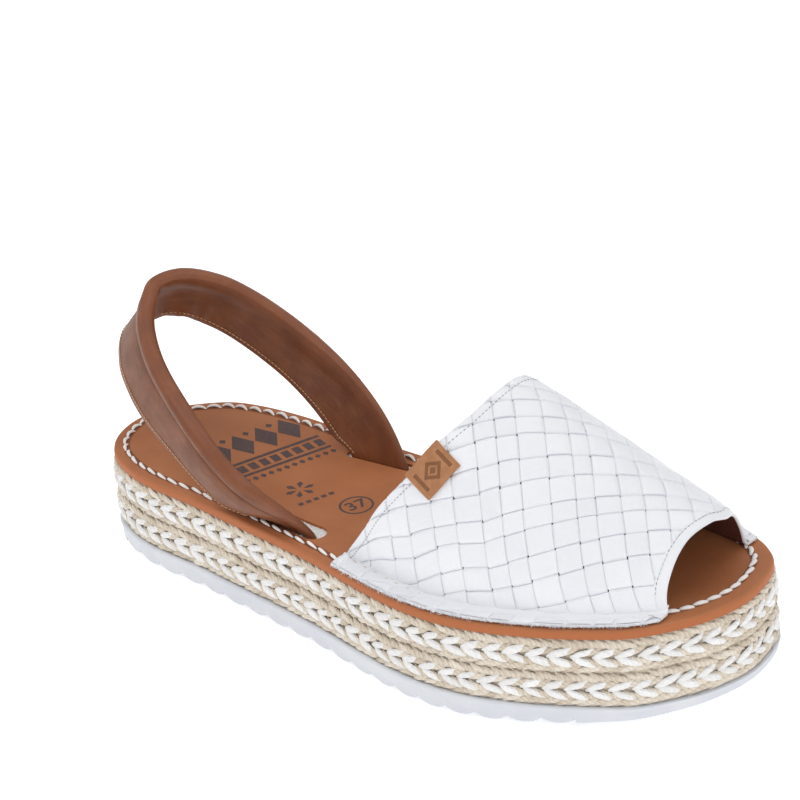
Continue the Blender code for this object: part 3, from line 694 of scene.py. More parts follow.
# %% [markdown]
# Smooth vegetable-tanned leather has a fine pebble, a few larger clouds where the hide
# took the dye unevenly, and a warmer, slightly darker edge where it was burnished.

# %% Leather
def leather(name, light, dark, edge, roughness, grain, depth, cloud_size=22.0, coat=0.0,
            edge_from=None):
    """Grained leather.  The edge colour is laid where the surface turns sideways."""
    sheet = Sheet(name)
    at = sheet.place()
    cloud = sheet.noise(at, cloud_size, 4.0)
    pebble = sheet.cells(at, grain)
    pore = sheet.noise(at, grain * 0.45, 2.0)
    tint = sheet.blend(cloud.within(0.3, 0.72), light, dark)
    tint = sheet.blend(pore.within(0.35, 0.7) * 0.18, tint, dark)
    if edge_from is not None:
        turn = sheet.node("ShaderNodeNewGeometry", out="Normal")
        side = abs(sheet.axis(turn, "Z")).within(edge_from, edge_from - 0.4)
        tint = sheet.blend(side, tint, edge)
    sheet.relief((cloud, 0.5), (pebble.within(0.0, 0.3), depth), (pore, depth * 0.7))
    return sheet.finish(tint, roughness + 0.12 * cloud + 0.05 * pore,
                        coat_weight=coat, specular=0.4)


tan = leather("tan leather", (0.45, 0.165, 0.062), (0.385, 0.130, 0.047),
              (0.44, 0.135, 0.042), 0.50, 0.55, 0.035, edge_from=0.75)
plate.piece("footbed_leather", tan, "footbed", ["footbed"], sharp=50,
            cutters=[slot_cutter(which) for which in SLOTS])

# The foam that fills a slot round the strap's end, a little below the leather
fill = Heap()
for which in SLOTS:
    middle, ahead, out, width, stand = slot_frame(which)
    along = np.linspace(-1, 1, 34)[:, None] * (STRAP_WIDTH / 2 + SLOT_END_ROOM)
    aside = np.linspace(-1, 1, 14)[None, :] * width / 2
    spots = middle + along[..., None] * ahead + aside[..., None] * out
    dents = np.clip(draw.normal(0, 0.12, (34, 14)), -0.3, 0.3) * MM
    low = footbed_under(spots[..., 0]) + 2.0 * MM + dents
    fill.add(np.concatenate([spots, low[..., None]], -1), grid_faces(34, 14))
fill.piece("slot_foam", foam, "midsole")

# %% [markdown]
# ## The seam round the footbed
#
# A fat cream thread holds the footbed to the platform.  Each stitch is a spindle that
# slants a little across the seam, so that the row looks like a chain.  Beneath it lies a
# thin dark strip, a hair above the leather: a painted shadow under the stitches.

# %% Seam
STITCH_LENGTH = 5.8 * MM
SEAM_INSET_HEEL, SEAM_INSET_TOE = 4.4 * MM, 6.4 * MM
VAMP_CORNERS = {"outer": 0.494, "inner": 0.492}
TOE_CORNERS = {"outer": 0.925, "inner": 0.905}


def run_at(x, side):
    """The way round the outline at x, on the outer (-1) or the inner side (1)."""
    if side < 0:
        return np.interp(x, EDGE[:TIP + 1, 0], np.arange(TIP + 1)) * GIRTH / len(EDGE)
    return np.interp(-x, -EDGE[TIP:, 0], np.arange(TIP, len(EDGE))) * GIRTH / len(EDGE)


def on_footbed(xy, lift=0.0):
    return np.column_stack([xy, footbed_top(xy[:, 0]) + lift])


def seam(heap, seam_shadow, start, end, inset, radius):
    count = int(round((end - start) / STITCH_LENGTH))
    marks = np.linspace(start, end, count + 1)
    for one, two in zip(marks, marks[1:]):
        t = np.linspace(0.0, 1.0, 8)
        wobble = draw.normal(0, 1, 3)
        xy = beside_edge(one + (two - one) * t,
                         -inset + (1.1 * (t - 0.5) + 0.55 * np.sin(math.pi * t)
                                   + 0.12 * wobble[0]) * MM)
        rise = (0.80 * np.sin(math.pi * np.clip(t, 0, 1)) ** 0.7 - 0.15
                + 0.05 * wobble[1]) * MM
        tube(heap, on_footbed(xy, rise), radius * MM * SPINDLE, 9, 0.85,
             shade=0.5 + 0.2 * wobble[2])
    # The dark strip under the stitches is a painted shadow
    walk_round = np.linspace(start - 1 * MM, end + 1 * MM, count * 6)
    sides = [on_footbed(beside_edge(walk_round, np.full(count * 6, -inset + w * MM)), z * MM)
             for w, z in ((-1.15, 0.015), (-0.5, 0.05), (0.5, 0.05), (1.15, 0.015))]
    seam_shadow.add(np.vstack(sides), grid_faces(4, count * 6))


thread, seam_shadow = Heap(), Heap()
outer_end = run_at(VAMP_CORNERS["outer"] * FOOTBED_LENGTH, -1) - 1.5 * MM
inner_end = run_at(VAMP_CORNERS["inner"] * FOOTBED_LENGTH, 1) + 1.5 * MM
seam(thread, seam_shadow, inner_end - GIRTH, outer_end, SEAM_INSET_HEEL, 0.60)
seam(thread, seam_shadow, run_at(TOE_CORNERS["outer"] * FOOTBED_LENGTH, -1),
     run_at(TOE_CORNERS["inner"] * FOOTBED_LENGTH, 1), SEAM_INSET_TOE, 0.80)


def thread_finish(name, light, dark, turns=0.9):
    """Waxed twisted thread: plies wind round it."""
    sheet = Sheet(name)
    ply = sheet.node("ShaderNodeTexWave", {"bands_direction": "DIAGONAL"}, {
        "Vector": sheet.lay(turns, 1.0), "Scale": 1.0, "Distortion": 0.4})
    ply = Wire(sheet, ply.socket.node.outputs["Fac"])
    blot = sheet.noise(sheet.place(), 1.6)
    tint = sheet.blend(ply * 0.6 + blot * 0.3, dark, light)
    sheet.relief((ply, 0.10), (blot, 0.08))
    return sheet.finish(tint, 0.55 + 0.2 * blot, specular=0.35)


cream = thread_finish("cream thread", (0.98, 0.965, 0.95), (0.93, 0.875, 0.84))
# A dark leather finish for the painted shadow under the seam
seam_shadow_finish = leather("painted seam shadow", (0.25, 0.085, 0.032), (0.20, 0.065, 0.026),
                (0.2, 0.07, 0.03), 0.6, 0.5, 0.03)
thread.piece("footbed_thread", cream, "footbed")
seam_shadow.piece("footbed_seam_shadow", seam_shadow_finish, "footbed")

# %% [markdown]
# ## The skin of the vamp
#
# The vamp is a sheet of woven strips stretched over a last.  To lay strips on it, every
# place needs a measure in millimetres: `s` along the crest and `t` round from the crest,
# outer side negative.  The skin is sampled once into a table, which also gives the way
# out of it, and everything on the vamp is then placed by looking the table up.

# %% Measures of the vamp
VAMP_WALL = 2.1 * MM
VAMP_INSET = 7.0 * MM
VAMP_CREST = 57.0 * MM
FLANGE_THICKNESS = 1.4 * MM
FLANGE_INSET_REAR, FLANGE_INSET_TOE = 0.3 * MM, 2.0 * MM
CREST_ACROSS, CREST_DRIFT = 0.119, 0.485
OUTER_FULLNESS, INNER_FULLNESS = 2.15, 1.86
# along, height of the crest over the footbed
CREST = smooth_path(((0.44, 1.240), (0.48, 1.215), (0.60, 1.108), (0.68, 0.998),
                     (0.76, 0.803), (0.84, 0.600), (0.92, 0.441), (1.00, 0.321)), 300)
# share of the way over the foot, the topline's place, the toe opening's place
OPENING = smooth_path((
    (0.00, 0.494, 0.945), (0.05, 0.531, 0.943), (0.11, 0.564, 0.942),
    (0.20, 0.611, 0.942), (0.29, 0.640, 0.942), (0.37, 0.660, 0.943),
    (0.49, 0.668, 0.949), (0.60, 0.667, 0.954), (0.71, 0.644, 0.944),
    (0.82, 0.595, 0.934), (0.93, 0.532, 0.933), (1.00, 0.492, 0.936)), 300)

# %% The skin as a table
SKIN_X = np.linspace(0.115, 0.246, 263)
SKIN_T = np.linspace(-0.106, 0.106, 425)
SPARE = 8 * MM


def vamp_skin(x, v):
    """The outer skin at x: v is 0 at the outer foot, 1 at the inner foot."""
    share = x / FOOTBED_LENGTH
    crest = VAMP_CREST * np.interp(share, CREST[:, 0], CREST[:, 1])
    ridge = (CREST_ACROSS + CREST_DRIFT * (share - 0.76)) * BALL_HALF_WIDTH
    outer = ridge - (side_y(x, -1) + VAMP_INSET)
    inner = (side_y(x, 1) - VAMP_INSET) - ridge
    cosine, sine = np.cos(math.pi * v), np.sin(math.pi * v)
    power = 2 / np.where(cosine > 0, OUTER_FULLNESS, INNER_FULLNESS)
    sweep = np.abs(cosine) ** power
    y = ridge - np.where(cosine > 0, outer * sweep, -inner * sweep)
    z = footbed_top(x) + FIT_GAP + crest * np.clip(sine, 0, 1) ** power
    return np.stack(np.broadcast_arrays(x, y, z), -1)


rounds = np.linspace(0, 1, 241)
skin, skin_v, round_t = np.zeros((263, 425, 3)), np.zeros((263, 425)), np.zeros((263, 241))
rim_t, foot_t, crest_line = np.zeros((263, 2)), np.zeros((263, 2)), []
for row, x in enumerate(SKIN_X):
    section = vamp_skin(np.full(241, x), rounds)
    shelf = footbed_top(x) + FIT_GAP + FLANGE_THICKNESS
    section[:, 2] = np.maximum(section[:, 2], shelf)
    ahead = np.clip((x / FOOTBED_LENGTH - 0.49) / 0.45, 0, 1)
    inset = FLANGE_INSET_REAR + (FLANGE_INSET_TOE - FLANGE_INSET_REAR) * ahead
    rims = [side_y(x, -1) + inset, side_y(x, 1) - inset]
    line = np.vstack([[(x, rims[0] - SPARE, shelf), (x, rims[0], shelf)], section,
                      [(x, rims[1], shelf), (x, rims[1] + SPARE, shelf)]])
    run = walk(line)
    run -= run[122]
    rim_t[row], foot_t[row] = (run[1], run[-2]), (run[2], run[-3])
    for axis in range(3):
        skin[row, :, axis] = np.interp(SKIN_T, run, line[:, axis])
    skin_v[row], round_t[row] = np.interp(SKIN_T, run[2:-2], rounds), run[2:-2]
    crest_line.append(section[120])
for _ in range(4):
    skin[:, 1:-1] = (skin[:, :-2] + 2 * skin[:, 1:-1] + skin[:, 2:]) / 4
SKIN_S = walk(np.array(crest_line))
skin_out = unit(np.cross(np.gradient(skin, axis=0), np.gradient(skin, axis=1)))
print("crest %.0f mm, foot to foot %.0f mm at the topline"
      % (SKIN_S[-1] / MM, np.ptp(foot_t[60]) / MM))


def look_up(table, s, t):
    """A table's value at (s, t), straight between its samples."""
    i = np.interp(s, SKIN_S, np.arange(len(SKIN_S)))
    j = np.interp(t, SKIN_T, np.arange(len(SKIN_T)))
    i0 = np.clip(i.astype(int), 0, len(SKIN_S) - 2)
    j0 = np.clip(j.astype(int), 0, len(SKIN_T) - 2)
    a, b = i - i0, j - j0
    if table.ndim == 3:
        a, b = a[..., None], b[..., None]
    return (table[i0, j0] * (1 - a) * (1 - b) + table[i0 + 1, j0] * a * (1 - b)
            + table[i0, j0 + 1] * (1 - a) * b + table[i0 + 1, j0 + 1] * a * b)


def on_vamp(s, t, lift):
    """A point `lift` millimetres above the skin."""
    s, t, lift = np.broadcast_arrays(s, t, lift)
    return look_up(skin, s, t) + unit(look_up(skin_out, s, t)) * (lift * MM)[..., None]


def opening_s(s, t, which):
    """Where the topline (1) or the toe opening (2) crosses the line of this t."""
    for _ in range(3):
        v = look_up(skin_v, s, t)
        x = np.interp(v, OPENING[:, 0], OPENING[:, which]) * FOOTBED_LENGTH
        s = np.interp(x, SKIN_X, SKIN_S)
    return s


def open_s(which, v):
    """Where an opening lies along the crest, at the share v of the way over the foot."""
    x = np.interp(v, OPENING[:, 0], OPENING[:, which]) * FOOTBED_LENGTH
    return np.interp(x, SKIN_X, SKIN_S)


def t_of(s, v):
    """How far round the crest the share v lies."""
    row = np.clip(np.interp(s, SKIN_S, np.arange(len(SKIN_S))), 0, len(SKIN_S) - 1.001)
    low = row.astype(int)
    spot = np.clip(np.asarray(v) * 240, 0, 239.999)
    near = spot.astype(int)
    a, b = row - low, spot - near
    return (round_t[low, near] * (1 - a) * (1 - b) + round_t[low + 1, near] * a * (1 - b)
            + round_t[low, near + 1] * (1 - a) * b + round_t[low + 1, near + 1] * a * b)


def opening_path(which, inwards=0.0, count=600, trim=0.0):
    """Along an opening from rim to rim over the foot, moved into the vamp."""
    v = np.linspace(0, 1, 400)
    s = open_s(which, v)
    core = np.stack([s, t_of(s, v)], 1)
    ends = [np.column_stack([np.full(12, s[k]), np.linspace(
        np.interp(s[k], SKIN_S, rim_t[:, k]), core[k, 1], 12)]) for k in (0, -1)]
    path = np.vstack([ends[0][:-1], core, ends[1][::-1][1:]])
    run = walk(path)
    at = np.linspace(trim, run[-1] - trim, count)
    path = np.stack([np.interp(at, run, path[:, k]) for k in (0, 1)], 1)
    padded = np.vstack([path[:1]] * 4 + [path] + [path[-1:]] * 4)
    way = unit(padded[8:] - padded[:-8])
    side = np.stack([way[:, 1], -way[:, 0]], 1) * (1 if which == 1 else -1)
    return path + side * inwards


# %% [markdown]
# ## Weaving
#
# The strips were woven flat, square to each other and at 45 degrees to the shoe.  On the
# last the sheet is pulled down at the sides, so the strips fan out and the squares lean.
# Two soft functions of `t` say how far each family of strips has swung.  Every crossing
# is then a patch of its own: the upper strip is crowned, its cut edges are crisp, and
# its ends dive under the neighbours.  A bump map could draw such a weave, but real edges
# catch the light and give the thin dark lines that make it look woven.

# %% Where a crossing lies
SWING_T = np.arange(0, 125, 0.5)
SWING_DOWN = np.cumsum(np.maximum(1 - 0.011 * SWING_T, 0.06)) * 0.5
SWING_UP = SWING_T + 0.0012 * SWING_T ** 2 + 0.008 * np.maximum(SWING_T - 55, 0) ** 2

# The cut edges of the two families of strips, in millimetres
STRIPS_ONE = np.array([-54.0, -44.0, -33.5, -22.4, -8.8, 0.7, 12.2, 22.3, 34.0, 42.9,
                       51.8, 63.8, 74.2, 82.0])
STRIPS_TWO = np.array([58.3, 67.0, 77.0, 86.0, 98.3, 109.0, 121.0, 129.5, 140.3, 150.5])
widths = draw.uniform(8.8, 11.6, 60)
STRIPS_ONE = np.concatenate([STRIPS_ONE, STRIPS_ONE[-1] + np.cumsum(widths[:18])])
STRIPS_TWO = np.concatenate([(STRIPS_TWO[0] - np.cumsum(widths[20:31]))[::-1], STRIPS_TWO,
                             STRIPS_TWO[-1] + np.cumsum(widths[32:42])])


# The weave's own middle lies beside the crest: along the crest, and the way inwards, in mm
CREST_SLIP = np.array(((20, -1.2), (50, -1.4), (72, 0.0), (95, 1.3), (115, 2.4), (128, 1.5),
                       (140, 0.0)))


def crossing(a, b):
    """(s, t) in millimetres of a point of the flat weave."""
    swap = a > b
    low, high = np.where(swap, b, a), np.where(swap, a, b)
    near, far = np.zeros_like(low), np.full_like(low, 115.0)
    for _ in range(26):
        t = (near + far) / 2
        lag = 9.8 * np.clip((34 - low) / 34, 0, 1.5) \
            * np.exp(-((t - 57 + 0.75 * np.minimum(low, 0)) / 18) ** 2)
        reach = low + np.interp(t, SWING_T, SWING_DOWN) \
            + np.interp(t, SWING_T, SWING_UP) + lag
        near, far = np.where(reach < high, t, near), np.where(reach < high, far, t)
    s = low + np.interp(t, SWING_T, SWING_DOWN)
    return s, np.where(swap, t, -t) + np.interp(s, CREST_SLIP[:, 0], CREST_SLIP[:, 1])


# %% One patch for each crossing
# share of the strip's width, and drop in mm: the cut edges are steep and a little round
ACROSS = np.array(((0.000, 0.95), (0.005, 0.26), (0.022, 0.07), (0.055, 0.0), (0.2, -0.02),
                   (0.5, -0.05), (0.8, -0.02), (0.945, 0.0), (0.978, 0.07), (0.995, 0.26),
                   (1.000, 0.95)))
# share of the cell's length, and height in mm: the ends dive under the neighbours
ALONG = np.array(((-0.12, -0.85), (-0.05, -0.66), (0.005, -0.26), (0.05, 0.02),
                  (0.13, 0.19), (0.28, 0.25), (0.5, 0.27), (0.72, 0.25), (0.87, 0.19),
                  (0.95, 0.02), (0.995, -0.26), (1.05, -0.66), (1.12, -0.85)))
# the gap beside a strip, as a share of its width: one family lies closer than the other
GAPS = (0.020, 0.042)
TOE_BAND = 3.5 * MM
patch_faces = grid_faces(len(ALONG), len(ACROSS))


def trimmed(s, t):
    """Pulls points back inside the vamp; says which lay beyond each of its edges."""
    rear, front = opening_s(s, t, 1), opening_s(s, t, 2) - TOE_BAND + 0.6 * MM
    rims = [np.interp(s, SKIN_S, rim_t[:, k]) for k in (0, 1)]
    beyond = np.stack([s < rear, s > front, t < rims[0], t > rims[1]])
    s = np.clip(s, rear, np.maximum(front, rear))
    return s, np.clip(t, rims[0], rims[1]), beyond


weave = Heap()
kept = 0
for i in range(len(STRIPS_ONE) - 1):
    for j in range(len(STRIPS_TWO) - 1):
        a0, a1, b0, b1 = (*STRIPS_ONE[i:i + 2], *STRIPS_TWO[j:j + 2])
        u, w = np.meshgrid(ACROSS[:, 0], ALONG[:, 0])
        first = (i + j) % 2 == 0
        slant = draw.normal(0, 0.014, 2)
        gap = GAPS[0 if first else 1] * draw.uniform(0.6, 1.5, 2)
        u = gap[0] + (1 - gap.sum()) * u + slant[0] * (w - 0.5)
        a = a0 + (a1 - a0) * (u if first else w)
        b = b0 + (b1 - b0) * (w if first else u)
        s, t = (c * MM for c in crossing(a, b))
        if s.min() > SKIN_S[-1] or s.max() < 0 or np.abs(t).min() > 0.1:
            continue
        s, t, beyond = trimmed(s, t)
        inside = [f for f in patch_faces
                  if not beyond.reshape(4, -1)[:, f].all(axis=1).any()]
        if not inside:
            continue
        tilt = draw.normal(0, 0.05)
        foot = np.where(t < 0, -np.interp(s, SKIN_S, foot_t[:, 0]),
                        np.interp(s, SKIN_S, foot_t[:, 1]))
        calm = 1 - 0.35 * np.clip((np.abs(t) - foot + 2.0 * MM) / (2.5 * MM), 0, 1)
        lift = 0.12 + calm * (ALONG[:, 1][:, None] - ACROSS[:, 1][None, :]
                              + tilt * (u - 0.5) + slant[1] * 2 * (w - 0.5))
        lay = np.stack([w * 9 + 31 * i, u * 9 + 17 * j], -1)
        weave.add(on_vamp(s, t, lift), inside, lay, shade=draw.uniform(0, 1))
        kept += 1
print("crossings on the vamp:", kept)

# %% [markdown]
# White leather strips are glossy but not mirrors: a thin pigment coat over a fine grain
# that stretching has drawn out along the strip.  No two strips are quite the same white.

# %% White leather
def white_leather(name, light, dark, roughness):
    sheet = Sheet(name)
    at = sheet.place()
    grain = sheet.cells(sheet.lay(1.6, 3.2), 1.0)
    cloud = sheet.noise(at, 5.0, 3.0)
    crease = sheet.noise(sheet.lay(0.16, 1.3), 1.0, 4.0)
    tint = sheet.blend(sheet.shade() * 0.7 + cloud * 0.3, light, dark)
    sheet.relief((cloud, 0.25), (crease.within(0.45, 0.7), 0.05),
                 (grain.within(0.0, 0.2), 0.02))
    return sheet.finish(tint, roughness + 0.14 * cloud, coat_weight=0.25,
                        coat_roughness=0.25, specular=0.5)


strips = white_leather("white strips", (0.85, 0.86, 0.895), (0.80, 0.81, 0.85), 0.30)
weave.piece("vamp_weave", strips, "vamp", ["vamp"], sharp=38)

# %% [markdown]
# ## Lining and edges
#
# Behind the strips lies a backing whose near-black colour is painted shade: it shows as
# dark pin holes at the crossings.  Inside, a red-brown lining.  The topline is trimmed
# thin; the toe opening has a plain white band; and at the foot the vamp turns out into
# a raw-edged flange.

# %% Backing and lining
def skin_sheet(lift_of, inwards=0.0, rows=70, columns=150):
    """A sheet that follows the skin, from opening to opening.  lift_of: the lift in
    millimetres at so many metres from the nearer opening."""
    v = np.linspace(0, 1, columns)[None, :]
    rear, front = open_s(1, v) + inwards, open_s(2, v) - inwards
    s = rear + (front - rear) * np.linspace(0, 1, rows)[:, None]
    s, v = np.broadcast_arrays(s, v)
    near = np.minimum(s - rear, front - s)
    return on_vamp(s, t_of(s, v), lift_of(near))


def wall(near):
    """The wall is skived thin towards its openings."""
    return -0.95 - 1.4 * np.clip(near / (10 * MM), 0, 1) ** 0.7


backing, lining = Heap(), Heap()
backing.add(skin_sheet(lambda near: -0.95 + 0 * near, 0.6 * MM), grid_faces(70, 150))
inside_skin = skin_sheet(wall, 0.2 * MM)
floor_z = footbed_top(inside_skin[..., 0]) + 0.1 * MM
inside_skin[..., 2] = np.maximum(inside_skin[..., 2], floor_z)
lining.add(inside_skin, grid_faces(70, 150)[:, ::-1])


def edge_roll(heap, which, profile, shade=0.5):
    """A rounded edge along an opening.  profile: (mm into the vamp, lift in mm)."""
    loops = []
    for inwards, lift in profile:
        path = opening_path(which, inwards * MM)
        loops.append(on_vamp(path[:, 0], path[:, 1], lift))
    run = walk(loops[0]) / MM
    lay = np.stack(np.broadcast_arrays(run[None, :], np.arange(len(profile))[:, None]
                                       * 0.6), -1)
    heap.add(np.vstack(loops), grid_faces(len(profile), len(run)), lay, shade)


edges = Heap()
edge_roll(edges, 1, ((0.7, -0.5), (0.35, 0.12), (0.12, 0.20), (-0.05, 0.08),
                     (-0.10, -0.35), (-0.06, -0.75), (0.05, -0.95), (0.6, -1.1)))
edge_roll(edges, 2, ((3.6, -0.5), (3.5, 0.05), (3.35, 0.17), (2.8, 0.22), (1.8, 0.20),
                     (0.9, 0.22), (0.15, 0.18), (0.0, 0.06), (-0.05, -0.3),
                     (0.0, -0.75), (0.10, -0.95), (0.9, -1.1)))


def rim_path(side, inwards, lift, rag=0.0, count=560, ends=0.0):
    """Along the flange, from the topline to the toe opening."""
    k = 0 if side < 0 else 1
    s = np.linspace(open_s(1, float(k)) + ends, open_s(2, float(k)) - ends, count)
    t = np.interp(s, SKIN_S, rim_t[:, k]) - side * (inwards * MM + rag)
    return on_vamp(s, t, lift)


for side in (-1, 1):
    rag = draw.normal(0, 1, 560)
    rag = (2 * rag + np.roll(rag, 1)) / 2.2
    rag = -np.abs(rag) * 0.40 * MM
    loops = [rim_path(side, inwards, lift, rag * share) for inwards, lift, share in
             ((7.2, -0.38, 0), (3.0, -0.34, 0), (0.9, -0.10, 0), (0.25, 0.08, 0.5),
              (0.0, 0.0, 1), (-0.02, -0.35, 1), (0.1, -1.0, 0.6), (0.8, -1.3, 0))]
    faces = grid_faces(len(loops), 560)
    edges.add(np.vstack(loops), faces[:, ::-1] if side < 0 else faces,
              np.stack(np.meshgrid(np.linspace(0, 120, 560), np.arange(8) * 0.5), -1))
trim = white_leather("white trim", (0.83, 0.84, 0.87), (0.78, 0.79, 0.83), 0.42)
edges.piece("vamp_edges", trim, "vamp", sharp=60)

# The backing's near-black colour is painted shade for the pin holes at the crossings
backing_painted_shade = leather("backing with painted shade", (0.10, 0.07, 0.06), (0.06, 0.045, 0.04),
                       (0.1, 0.07, 0.06), 0.85, 0.5, 0.05)
backing.piece("vamp_backing", backing_painted_shade, "vamp")
suede = leather("brown lining", (0.125, 0.036, 0.020), (0.090, 0.026, 0.015),
                (0.12, 0.035, 0.02), 0.7, 0.45, 0.05)
lining.piece("vamp_lining", suede, "vamp")

# %% [markdown]
# ## Stitches of the vamp
#
# A fine grey row runs beside the topline and the toe band.  Along the crease of the
# flange, beige stitches sink into the leather and leave dimples.

# %% Fine stitches
def dashes(heap, path, out, length, gap, radius, rise=0.12, slant=0.0):
    """A row of short stitches along a path of points."""
    run = walk(path)
    starts = np.arange(gap, run[-1] - length, length + gap)
    for begin in starts:
        at = np.linspace(begin, begin + length, 5)
        spots = np.stack([np.interp(at, run, path[:, k]) for k in range(3)], 1)
        up = unit(np.array([np.interp(at[2], run, out[:, k]) for k in range(3)]))
        way = unit(np.cross(up, spots[-1] - spots[0]))
        bow = np.sin(math.pi * np.linspace(0, 1, 5))[:, None]
        spots = spots + up * bow * rise * MM + way * np.linspace(-1, 1, 5)[:, None] * slant
        tube(heap, spots, radius * np.array([0.5, 0.9, 1, 0.9, 0.5]), 6,
             out=up, shade=draw.uniform(0.2, 0.8))


def row_on_vamp(path, lift):
    points = on_vamp(path[:, 0], path[:, 1], np.full(len(path), lift))
    return points, unit(look_up(skin_out, path[:, 0], path[:, 1]))


grey_rows, beige_rows = Heap(), Heap()
for which, inwards, lift in ((1, 2.7, 0.42), (2, 2.9, 0.24)):
    line = opening_path(which, inwards * MM, 900, trim=8 * MM)
    dashes(grey_rows, *row_on_vamp(line, lift), 1.0 * MM, 0.6 * MM, 0.12 * MM, 0.05)
for side, k in ((-1, 0), (1, 1)):
    s = np.linspace(open_s(1, float(k)) + 3 * MM, open_s(2, float(k)) - 2 * MM, 500)
    t = np.interp(s, SKIN_S, foot_t[:, k]) + side * 0.9 * MM
    dashes(beige_rows, *row_on_vamp(np.stack([s, t], 1), 0.12), 2.8 * MM, 2.4 * MM,
           0.26 * MM, 0.14)
grey_thread = thread_finish("grey thread", (0.36, 0.37, 0.41), (0.24, 0.25, 0.29))
beige_thread = thread_finish("beige thread", (0.76, 0.71, 0.63), (0.60, 0.53, 0.45))
grey_rows.piece("vamp_grey_stitches", grey_thread, "vamp")
beige_rows.piece("vamp_beige_stitches", beige_thread, "vamp")

# %% Raw edge of the flange
whisps = Heap()
for side in (-1, 1):
    edge = rim_path(side, -0.1, -0.4)
    run = walk(edge)
    for _ in range(900):
        at = draw.uniform(0, run[-1])
        root = np.array([np.interp(at, run, edge[:, k]) for k in range(3)])
        reach = draw.uniform(0.35, 1.1) * MM
        lean = np.array([draw.normal(0, 0.5), side * 1.0, draw.normal(-0.25, 0.35)])
        path = root + np.linspace(0, 1, 4)[:, None] * lean * reach
        tube(whisps, path, 0.07 * MM * np.linspace(1.3, 0.5, 4), 3, shade=0.5)
whisps.piece("vamp_raw_edge", trim, "vamp")

# %% [markdown]
# ## The heel strap
#
# The strap is a band of waxed brown leather, folded over a soft core along its upper
# edge.  It rises out of the outer slot, leans round the heel and comes down into the
# inner slot.  It is lofted: one section, carried along a path that also says which way
# the band leans.

# %% The strap's path and section
STRAP_THICKNESS = 2.4 * MM
STRAP_ROLL = 5.0 * MM
STRAP_RISE = 50.0 * MM
POCKET_DEPTH = 10.0 * MM
# along, across and rise of the lower edge; the way to the upper edge; how far it bows
STRAP = (
    (0.298, -0.597, 0.024, 15.6, -6.8, 13.9, 0.12), (0.270, -0.617, 0.048, 13.0, -5.4, 18.1, 0.12),
    (0.232, -0.633, 0.178, 12.5, -3.9, 18.8, 0.08), (0.192, -0.609, 0.295, 9.3, -0.8, 20.9, 0.05),
    (0.130, -0.515, 0.417, 8.7, 2.8, 21.0, 0.03), (0.082, -0.389, 0.500, 9.8, 4.3, 20.2, 0.03),
    (0.034, -0.206, 0.588, 12.2, 4.5, 18.9, 0.03), (0.002, 0.035, 0.675, 15.5, -0.6, 16.9, 0.03),
    (0.013, 0.270, 0.708, 10.4, -7.0, 19.1, 0.03), (0.038, 0.387, 0.702, 8.8, -5.4, 20.6, 0.03),
    (0.069, 0.466, 0.640, 10.9, -1.2, 20.1, 0.03), (0.111, 0.538, 0.522, 11.5, 0.0, 19.9, 0.03),
    (0.193, 0.562, 0.303, 9.8, 1.4, 20.6, 0.03), (0.274, 0.452, 0.114, 11.6, 4.7, 19.2, 0.05))
STATIONS = 520


def strap_rows():
    rows = []
    floor = OUTSOLE_THICKNESS + BAND_HEIGHT_HEEL - POCKET_DEPTH + FIT_GAP
    ends = {}
    for which in ("outer", "inner"):
        middle, ahead, out, width, stand = slot_frame(which)
        spot = middle + out * stand - ahead * STRAP_WIDTH / 2
        top = float(footbed_top(spot[0]))
        ends[which] = [(*spot, z, *ahead, 0.0, 0.0) for z in (floor, (floor + top) / 2, top)]
    for along, across, rise, *way, belly in STRAP:
        x = along * FOOTBED_LENGTH
        rows.append((x, across * BALL_HALF_WIDTH, float(footbed_top(x)) + rise * STRAP_RISE,
                     *unit(np.array(way)), belly))
    return np.array(ends["outer"] + rows + ends["inner"][::-1])


rows = strap_rows()
path = smooth_path(np.hstack([rows[:, :3] + rows[:, 3:6] * STRAP_WIDTH / 2, rows[:, 3:]]),
                   STATIONS)
strap_middle, strap_up, strap_belly = path[:, :3], unit(path[:, 3:6]), path[:, 6]
strap_out = unit(np.cross(strap_up, np.gradient(strap_middle, axis=0)))
STRAP_RUN = walk(strap_middle)
share = np.linspace(0, 1, STATIONS)
plump = np.clip(np.minimum(share, 1 - share) / 0.16 - 0.5, 0, 1)

# across: share from lower to upper edge; out: share of half the thickness; roll: share
# of the padded edge.  The dip at 0.73 is the crease where the core begins.
BAND = smooth_path((
    (0.00, 0.20, 0.00), (0.012, 0.85, 0.00), (0.05, 1.00, 0.00), (0.35, 1.03, 0.00),
    (0.62, 1.00, 0.00), (0.70, 0.80, 0.00), (0.735, 0.52, 0.00), (0.77, 0.85, 0.12),
    (0.85, 1.00, 0.24), (0.93, 0.95, 0.20), (0.985, 0.60, 0.11), (1.00, 0.00, 0.04),
    (0.985, -0.60, -0.03), (0.93, -1.00, -0.10), (0.80, -1.00, -0.12),
    (0.66, -0.95, -0.02), (0.60, -1.00, 0.00), (0.35, -1.02, 0.00), (0.05, -1.00, 0.00),
    (0.012, -0.85, 0.00), (0.00, -0.20, 0.00)), 54)


def on_strap(station, across, out, roll=0.0):
    """A point of the band.  station may lie between two; out in half thicknesses."""
    station, across, out, roll = np.broadcast_arrays(
        np.asarray(station, float), across, out, roll)
    low = np.clip(station.astype(int), 0, STATIONS - 2)
    part = (station - low)[..., None]

    def at(table):
        table = table if table.ndim > 1 else table[:, None]
        return table[low] * (1 - part) + table[low + 1] * part

    bow = at(strap_belly)[..., 0] * STRAP_WIDTH * (1 - (2 * across - 1) ** 2)
    lift = out * STRAP_THICKNESS / 2 + roll * STRAP_ROLL * at(plump)[..., 0] * 2 + bow
    return at(strap_middle) + at(strap_up) * ((across - 0.5) * STRAP_WIDTH)[..., None] \
        + at(strap_out) * lift[..., None]
